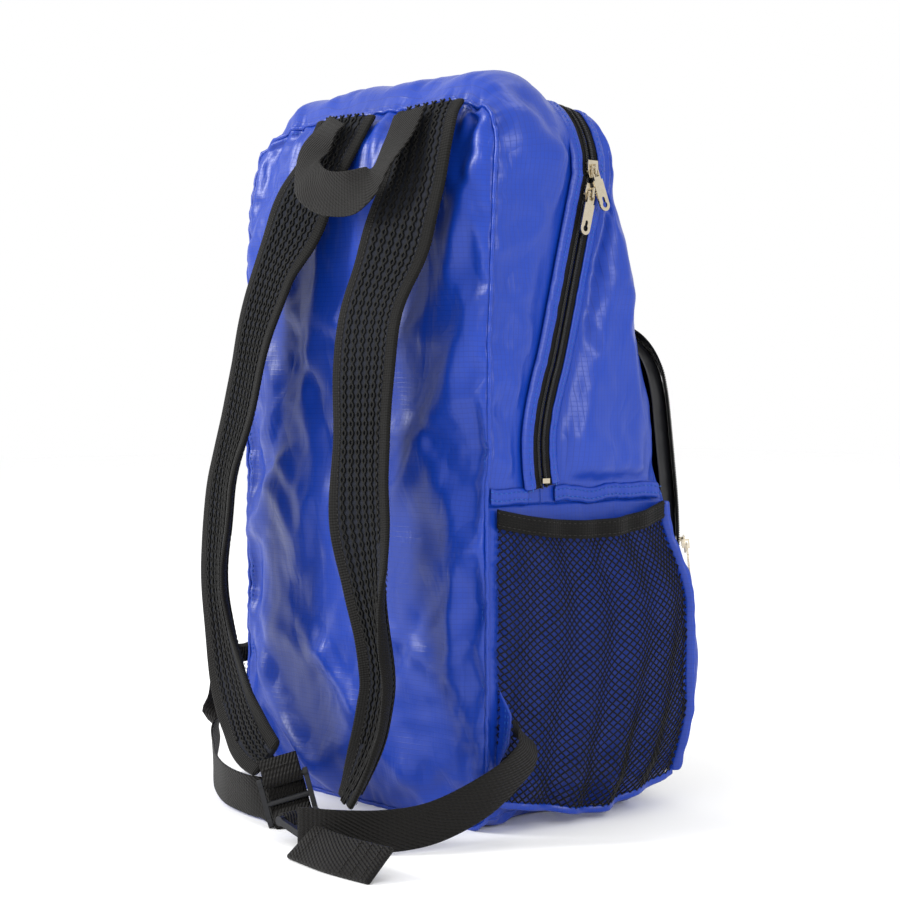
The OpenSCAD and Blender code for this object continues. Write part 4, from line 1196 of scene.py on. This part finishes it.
for side in ("left", "right"):
    made = bandInLock(f"buckle_loop_{side}", side, [(-26, 1.6), (-20, 2.6), (-13, 3.0), (-9.4, 1.8), (-9.0, 0),
                                                    (-9.4, -1.8), (-13, -3.0), (-20, -2.6), (-26, -1.6)],
                      24, 1.4, "strap_" + side, "webbing", (f"buckle_loop_{side}",))
    rows = [rowAcross(made[1], made[2], made[3], i, 10, f * 0.95) for i in (4, -5) for f in (1, -1)]
    show(stitches(f"buckle_loop_stitches_{side}", [r[0] for r in rows],
                  [r[1] * (1 if n % 2 == 0 else -1) for n, r in enumerate(rows)], "darkThread", 2.0, 2.6, 0.7, 0.6),
         "strap_" + side, "webbing")
bandInLock("webbing_tail_left", "left", [(-10, -5.6), (0, -5.0), (8, -5.2), (14.5, -5.4)], 24, 2.6, "lock_left",
           "webbing", ("webbing_tail_left",))
lockFoot, lockHeart = (tuple(float(c) * mm for c in v) for v in locks["left"]([(17, 0, 1.2), (5, 0, -0.5)]))
bandInLock("webbing_in_lock_left", "left", [(17, 1.2), (12.5, 3.2), (6.5, 0.5), (1, -3.0), (-5, -4.0), (-8, -4.9)],
           24, 1.4, "strap_left", "webbing", bodyB="lock_left", start=lockFoot, end=lockHeart)
bandInLock("webbing_in_lock_right", "right", [(17, 1.2), (12.5, 3.2), (6.5, 0.5), (1, -3.0), (-5, -3.6),
                                              (-12, -3.0)], 24, 1.4, "strap_right", "webbing")
print("ladder locks threaded")


# Side pockets: knitted net gathered onto a ribbed elastic, hanging out from the side panel
pocket = {"back": 6.0, "front": 151.0, "foot": 9.0, "top": 187.0, "bulge": 12.0, "elasticWide": 11.5,
          "elasticThick": 1.6, "sag": 9.0, "cell": 3.5, "strand": 0.6, "pleats": 5, "pleatDeep": 3.2, "frontFull": 13.0}


def pocketSkin(side, u, v):   # u from the back seam to the front, v from the foot to the elastic
    bow = 1 - (2 * u - 1) ** 2
    slack = 0.45 + 0.75 * sin(pi * min(1.0, 0.15 + v * 0.75)) ** 0.8
    foot = pocket["foot"] + 10 * (2 * u - 1) ** 4 + 3 * sin(u * 9.0)
    top = pocket["top"] - pocket["sag"] * bow
    z = foot + (top - foot) * v
    full = float(cornerFullness(z))
    d = pocket["back"] + (pocket["front"] + pocket["frontFull"] * full - pocket["back"]) * u
    root = 125.4 + bag["sideFull"] * full * float(smoothStep(d - 75, -20, 75))
    deep = pocket["pleatDeep"] * bow * (1 - 0.5 * v)
    fold = deep * sin(2 * pi * pocket["pleats"] * (u + 0.05 * sin(v * 5 + side)) + side)
    lump = 2.4 * bow * noise.noise(Vector((u * 3.1, v * 3.6, 8.0 + side)))
    x = root + pocket["bulge"] * bow * slack * (1.0 if v > 0.1 else 0.55 + 4.5 * v) + fold + lump * 1.2
    if u < 0.03 or u > 0.97:
        x = root + 0.2
    return np.array([side * max(x, root + 0.2), -75 + d, z])


def makePocket(side, name):
    wide, tall = pocket["front"] - pocket["back"] + 14, pocket["top"] - pocket["foot"]
    lines = []
    for lean in (1, -1):
        reach = wide + tall
        count = int(reach / (pocket["cell"] * sqrt(2)))
        for c in range(count + 1):
            start = c * pocket["cell"] * sqrt(2)
            row = []
            for step in np.arange(0, reach, 2.6):
                a = start - step if lean > 0 else wide - start + step
                b = step
                if not (0 <= a <= wide and 0 <= b <= tall):
                    if len(row) > 1:
                        lines.append(np.array(row))
                    row = []
                    continue
                row.append(pocketSkin(side, a / wide, b / tall))
            if len(row) > 1:
                lines.append(np.array(row))
    net = grow(wire(f"mesh_pocket_{name}", lines), strands, "net", Radius=pocket["strand"] * mm)
    show(net, "pack", "pocket_mesh", f"mesh_pocket_{name}")
    # the elastic folded over the net's top edge, and a narrow binding along its foot
    edge = np.array([pocketSkin(side, u, 1.0) for u in np.linspace(0.0, 1.0, 60)])
    s, p = evenly(edge, 2.5)
    across = np.tile([0.0, 0.0, 1.0], (len(p), 1))
    up = np.cross(unit(np.gradient(p, axis=0)), across)
    up = unit(up * np.sign(up[:, :1] * side))
    h, t = pocket["elasticWide"] / 2, pocket["elasticThick"] / 2
    rings = [[(-h, t * 0.6), (-h + 1, t + 0.3), (-h * 0.3, t + 0.1), (h * 0.3, t + 0.25), (h - 1, t + 0.4),
              (h, t * 0.5), (h, -t * 0.5), (h - 1, -t), (-h + 1, -t), (-h, -t * 0.6)]] * len(s)
    lift = p + across * (h - 1.5) + up * 0.8
    band = sweep(f"pocket_elastic_{name}", s, lift, across, up, rings, "elastic")
    show(band, "pack", "elastic", f"pocket_elastic_{name}")
    rows = [lift + across * o + up * (t + 0.35) for o in (-h + 2.0, h - 2.2)]
    show(stitches(f"elastic_stitches_{name}", rows, [up, up], "darkThread", 2.4, 3.6, 0.6, 0.5), "pack", "elastic")
    rim = [pocketSkin(side, u, 0.0) for u in np.linspace(0.0, 1.0, 50)]
    s, p = evenly(np.array(rim), 3.0)
    across = np.tile([0.0, 0.0, 1.0], (len(p), 1))
    up = np.cross(unit(np.gradient(p, axis=0)), across)
    up = unit(up * np.sign(up[:, :1] * side))
    ring = [(-2.2, 0.3), (-1.4, 1.0), (1.6, 1.0), (2.6, 0.3), (1.6, -0.5), (-1.4, -0.5)]
    hem = sweep(f"pocket_hem_{name}", s, p, across, up, [ring] * len(s), "ripstop")
    show(hem, "pack", "ripstop")
    # the side panel's front seam: its allowance stands out as a soft piped edge along the net
    seam = np.array([pocketSkin(side, 1.0, v) + [side * 0.4, 2.6, 0] for v in np.linspace(0.0, 1.06, 40)])
    s, p = evenly(seam, 2.5)
    across = np.tile([float(side) * 0.75, 0.65, 0.0], (len(p), 1))
    up = unit(np.cross(unit(np.gradient(p, axis=0)), across))
    wob = [1 + 0.3 * noise.noise(Vector((v / 9, side, 4.0))) for v in s]
    ring = [[(4.2 * w * cos(q) - 0.6, 1.5 * w * sin(q)) for q in np.linspace(0, 2 * pi, 9)[:-1]] for w in wob]
    piping = finish(sweep(f"front_seam_{name}", s, p, across, up, ring, "ripstop"),
                    ("SUBSURF", {"levels": 1, "render_levels": 1}))
    show(piping, "pack", "ripstop")


for side, name in ((-1, "left"), (1, "right")):
    makePocket(side, name)
print("side pockets made")


# Front pocket: satin face and gusset with a zip set in the turned edge
front = {"half": 118.0, "foot": 14.0, "top": 308.0, "depth": 24.0, "bevel": 10.0, "topRadius": 34.0,
         "footRadius": 20.0, "cells": (44, 6, 56), "zipFoot": 112.0, "fold": 2.2, "fine": 0.9}


def pocketSwell(z):   # how much of its depth the front pocket has at each height: it lies flat at the foot
    return np.interp(z, [0, 60, 120, 170, 195, 400], [0.3, 0.38, 0.55, 0.85, 1.0, 1.0])


def frontZipLine():
    half, r = front["half"] - front["bevel"] / 2, front["topRadius"] - front["bevel"] / 2
    top = front["top"] - front["bevel"] / 2
    run = [(half, z, 0) for z in (front["zipFoot"], 130, 160, 190, 225, 260)]
    run += [(half - r + r * cos(radians(q)), top - r + r * sin(radians(q)), q) for q in range(0, 91, 6)]
    run += [(half - r - 25, top, 90), (30, top, 90)]
    run = run + [(-x, z, 180 - q) for x, z, q in run[::-1]]
    line = np.array([(x, -75 + keyed(z, frontKeys) + (front["depth"] - front["bevel"] / 2) * pocketSwell(z), z)
                     for x, z, q in run])
    return line, np.array([(cos(radians(q)), -1.0, sin(radians(q))) for x, z, q in run])


def makeFrontPocket():
    places, faces, sides = softBoxGrid(front["cells"])
    nx, ny, nz = front["cells"]
    i, k, j = places[:, 0], places[:, 1], places[:, 2]
    depths = np.array([0.2, 4.5, 9.5, front["depth"] - front["bevel"], front["depth"] - front["bevel"] / 2,
                       front["depth"] - 1.2, front["depth"]])[k]
    inset = np.array([0, 0, 0, 0, 0.5, 0.88, 1.25])[k] * front["bevel"]
    half, foot, top = front["half"], front["foot"], front["top"]
    x = (i / nx * 2 - 1) * half
    z = foot + j / nz * (top - foot)
    mid = (foot + top) / 2
    x, z = roundedOutline(x, z, half, foot, top, front["topRadius"], front["footRadius"])
    grow_ = np.stack([1 - inset / half, 1 - inset / ((top - foot) / 2)])
    x, z = x * grow_[0], mid + (z - mid) * grow_[1]
    crown = 3.0 * (1 - (x / half) ** 2) * (1 - ((z - mid) / (top - mid)) ** 2) * (k == ny)
    p = np.stack([x, -75 + keyed(z, frontKeys) + (depths + crown) * pocketSwell(z), z], 1)
    keep = [n for n, side in enumerate(sides) if side != "back"]
    belt = (i == 0) | (i == nx) | (j == 0) | (j == nz)
    fixed = belt & ((k == 0) | ((k == 4) & (z > front["zipFoot"] - 4)))
    pairs = neighbours(faces, len(p))
    p = relax(p, pairs, fixed, 2)
    n = pointNormals(p, faces)
    n = n * np.sign(np.sum(n * (p - [0, 60, 160]), 1, keepdims=True))
    toZip, alongZip = nearest(p, evenly(frontZipLine()[0], 2.0)[1])
    calm = smoothStep(toZip, 6, 18) * (k > 0)
    lift = front["fold"] * (creases(p, 48, 8, (1, 1, 0.7)) - 0.5) + front["fine"] * (creases(p, 22, 9) - 0.5)
    lift += 1.8 * cloud(p, 60, 6) + 0.8 * np.exp(-np.maximum(toZip - 12, 0) / 8) * np.sin(alongZip * 0.5)
    p = p + n * (lift * calm)[:, None]
    regions = [0 if max(places[v][1] for v in faces[m]) <= 4 else 1 for m in keep]
    uvs = np.array([(p[v][0] if sides[m] in ("front", "top", "bottom") else p[v][2],
                     p[v][2] if sides[m] == "front" else p[v][1]) for m in keep for v in faces[m]])
    used, back = np.unique(np.array([faces[m] for m in keep]), return_inverse=True)
    shell = newObject("front_pocket", p[used], back.reshape(-1, 4).tolist(), "satin", uvs)
    shell.data.materials.append(cloth["satin"])
    shell.data.polygons.foreach_set("material_index", regions)
    turnOutward(shell)
    n0 = np.array([f.normal for f in shell.data.polygons if abs(f.center.x) < 0.03 and f.center.z > 0.1
                   and f.center.z < 0.2])
    if n0[:, 1].mean() < 0:
        shell.data.flip_normals()
    shell = finish(shell, ("SUBSURF", {"levels": 1, "render_levels": 1}))
    return cutPanels(shell, ["front_pocket_gusset", "front_pocket_face"], "satin", 0.6)


for panelName, (piece, flatSize, flatArea) in makeFrontPocket().items():
    show(piece, "pack", "pocket_lining", panelName)
line, across = frontZipLine()
makeZip("front_zip", line, across, "pack", None, ("front_zip_tape", "front_zip_coil"))
print("front pocket made")


# Anchor tabs: doubled cloth folded to a triangle in the side seam
tab = {"x0": 124.0, "reach": 11.5, "low": 38.0, "high": 90.0, "thick": 2.0}


def makeTab(side, name):
    rows = []
    steps = 9
    for n in range(steps):
        f = n / (steps - 1)
        x = tab["x0"] + tab["reach"] * f
        low = tab["low"] + 18 * f
        high = tab["high"] - 16 * f
        rows.append([(x, z) for z in np.linspace(low, high, 13)])
    points, faces = [], []
    for n, row in enumerate(rows):
        for m, (x, z) in enumerate(row):
            puff = tab["thick"] / 2 * (0.75 + 0.5 * noise.noise(Vector((x / 9, z / 9, side))))
            puff *= 1.0 if 0 < n < steps - 1 and 0 < m < 12 else 0.45
            bend = 1.2 * sin(z / 11 + side)
            for f in (-1, 1):
                points.append((side * x, -67.2 + bend + f * puff, z))
    where = lambda n, m, f: (n * 13 + m) * 2 + f
    for n in range(steps - 1):
        for m in range(12):
            for f in (0, 1):
                faces.append([where(n, m, f), where(n + 1, m, f), where(n + 1, m + 1, f), where(n, m + 1, f)])
    for n in range(steps - 1):
        for m in (0, 12):
            faces.append([where(n, m, 0), where(n + 1, m, 0), where(n + 1, m, 1), where(n, m, 1)])
    for m in range(12):
        for n in (0, steps - 1):
            faces.append([where(n, m, 0), where(n, m + 1, 0), where(n, m + 1, 1), where(n, m, 1)])
    uvs = [(points[v][0], points[v][2]) for f in faces for v in f]
    piece = newObject(f"anchor_tab_{name}", points, faces, "ripstop", uvs)
    turnOutward(piece)
    finish(piece, ("SUBSURF", {"levels": 1, "render_levels": 1}))
    show(piece, "pack", "ripstop", f"anchor_tab_{name}")
    rows = [np.array([(side * (tab["x0"] + tab["reach"] - inn), -67.2 + 1.2 * sin(z / 11 + side) - 1.3, z)
                      for z in np.linspace(54, 76, 12)]) for inn in (1.6, 4.2)]
    outs = [np.tile([0.0, -1.0, 0.0], (12, 1))] * 2
    show(stitches(f"tab_stitches_{name}", rows, outs, "blueThread", 2.2, 3.2, 0.6, 0.5), "pack", "ripstop")


makeTab(-1, "left")
makeTab(1, "right")


# Side seam bands above the pockets, folded and stitched twice, following the cloth
def makeBand(side, name):
    strips_, rows, outs = [], [], []
    for low, high in ((-73.0, -40.5), (-19.5, 76.0)):
        y = np.arange(low, high, 1.5)
        wob = np.array([noise.noise(Vector((v / 7, 2.0, side))) for v in y])
        slow = np.array([noise.noise(Vector((v / 24, 6.0, side))) for v in y])
        p = np.stack([side * (124.7 + wob * 0.6), y, 204.0 + slow * 3.0 + wob], 1)
        s = y - low
        across = np.tile([0.0, 0.0, 1.0], (len(p), 1))
        up = np.tile([float(side), 0.0, 0.0], (len(p), 1))
        taper = np.minimum(1.0, np.minimum(s, s[-1] - s) / 5.0 + 0.25)
        ring = [[(-6.0, -1.6), (-4.6, 0.1 * t), (-1.8, (0.6 + 0.5 * w) * t), (0.2, (0.2 - 0.4 * w) * t), (2.4, 0.7 * t),
                 (4.6, 0.1 * t), (6.2, -1.6), (0.0, -2.2)] for w, t in zip(wob, taper)]
        strips_.append(finish(sweep("band", s, p, across, up, ring, "ripstop"),
                              ("SUBSURF", {"levels": 1, "render_levels": 1})))
        for o in (-1.9, 2.6):
            rows.append(p + across * o + up * 0.75)
            outs.append(up)
    show(join(f"seam_band_{name}", strips_), "pack", "ripstop", f"seam_band_{name}")
    show(stitches(f"seam_band_stitches_{name}", rows, outs, "blueThread", 2.6, 3.6, 0.8, 0.7), "pack", "ripstop")


makeBand(-1, "left")
makeBand(1, "right")
print("tabs and bands made")


# Any CAD node that still shows without one of the cloth materials is printed
for node in nodes.values():
    if not node.hide_render and not any(m and m.name in [c.name for c in cloth.values()] for m in node.data.materials):
        print("plain CAD node still showing:", node.name)
print("scene made")
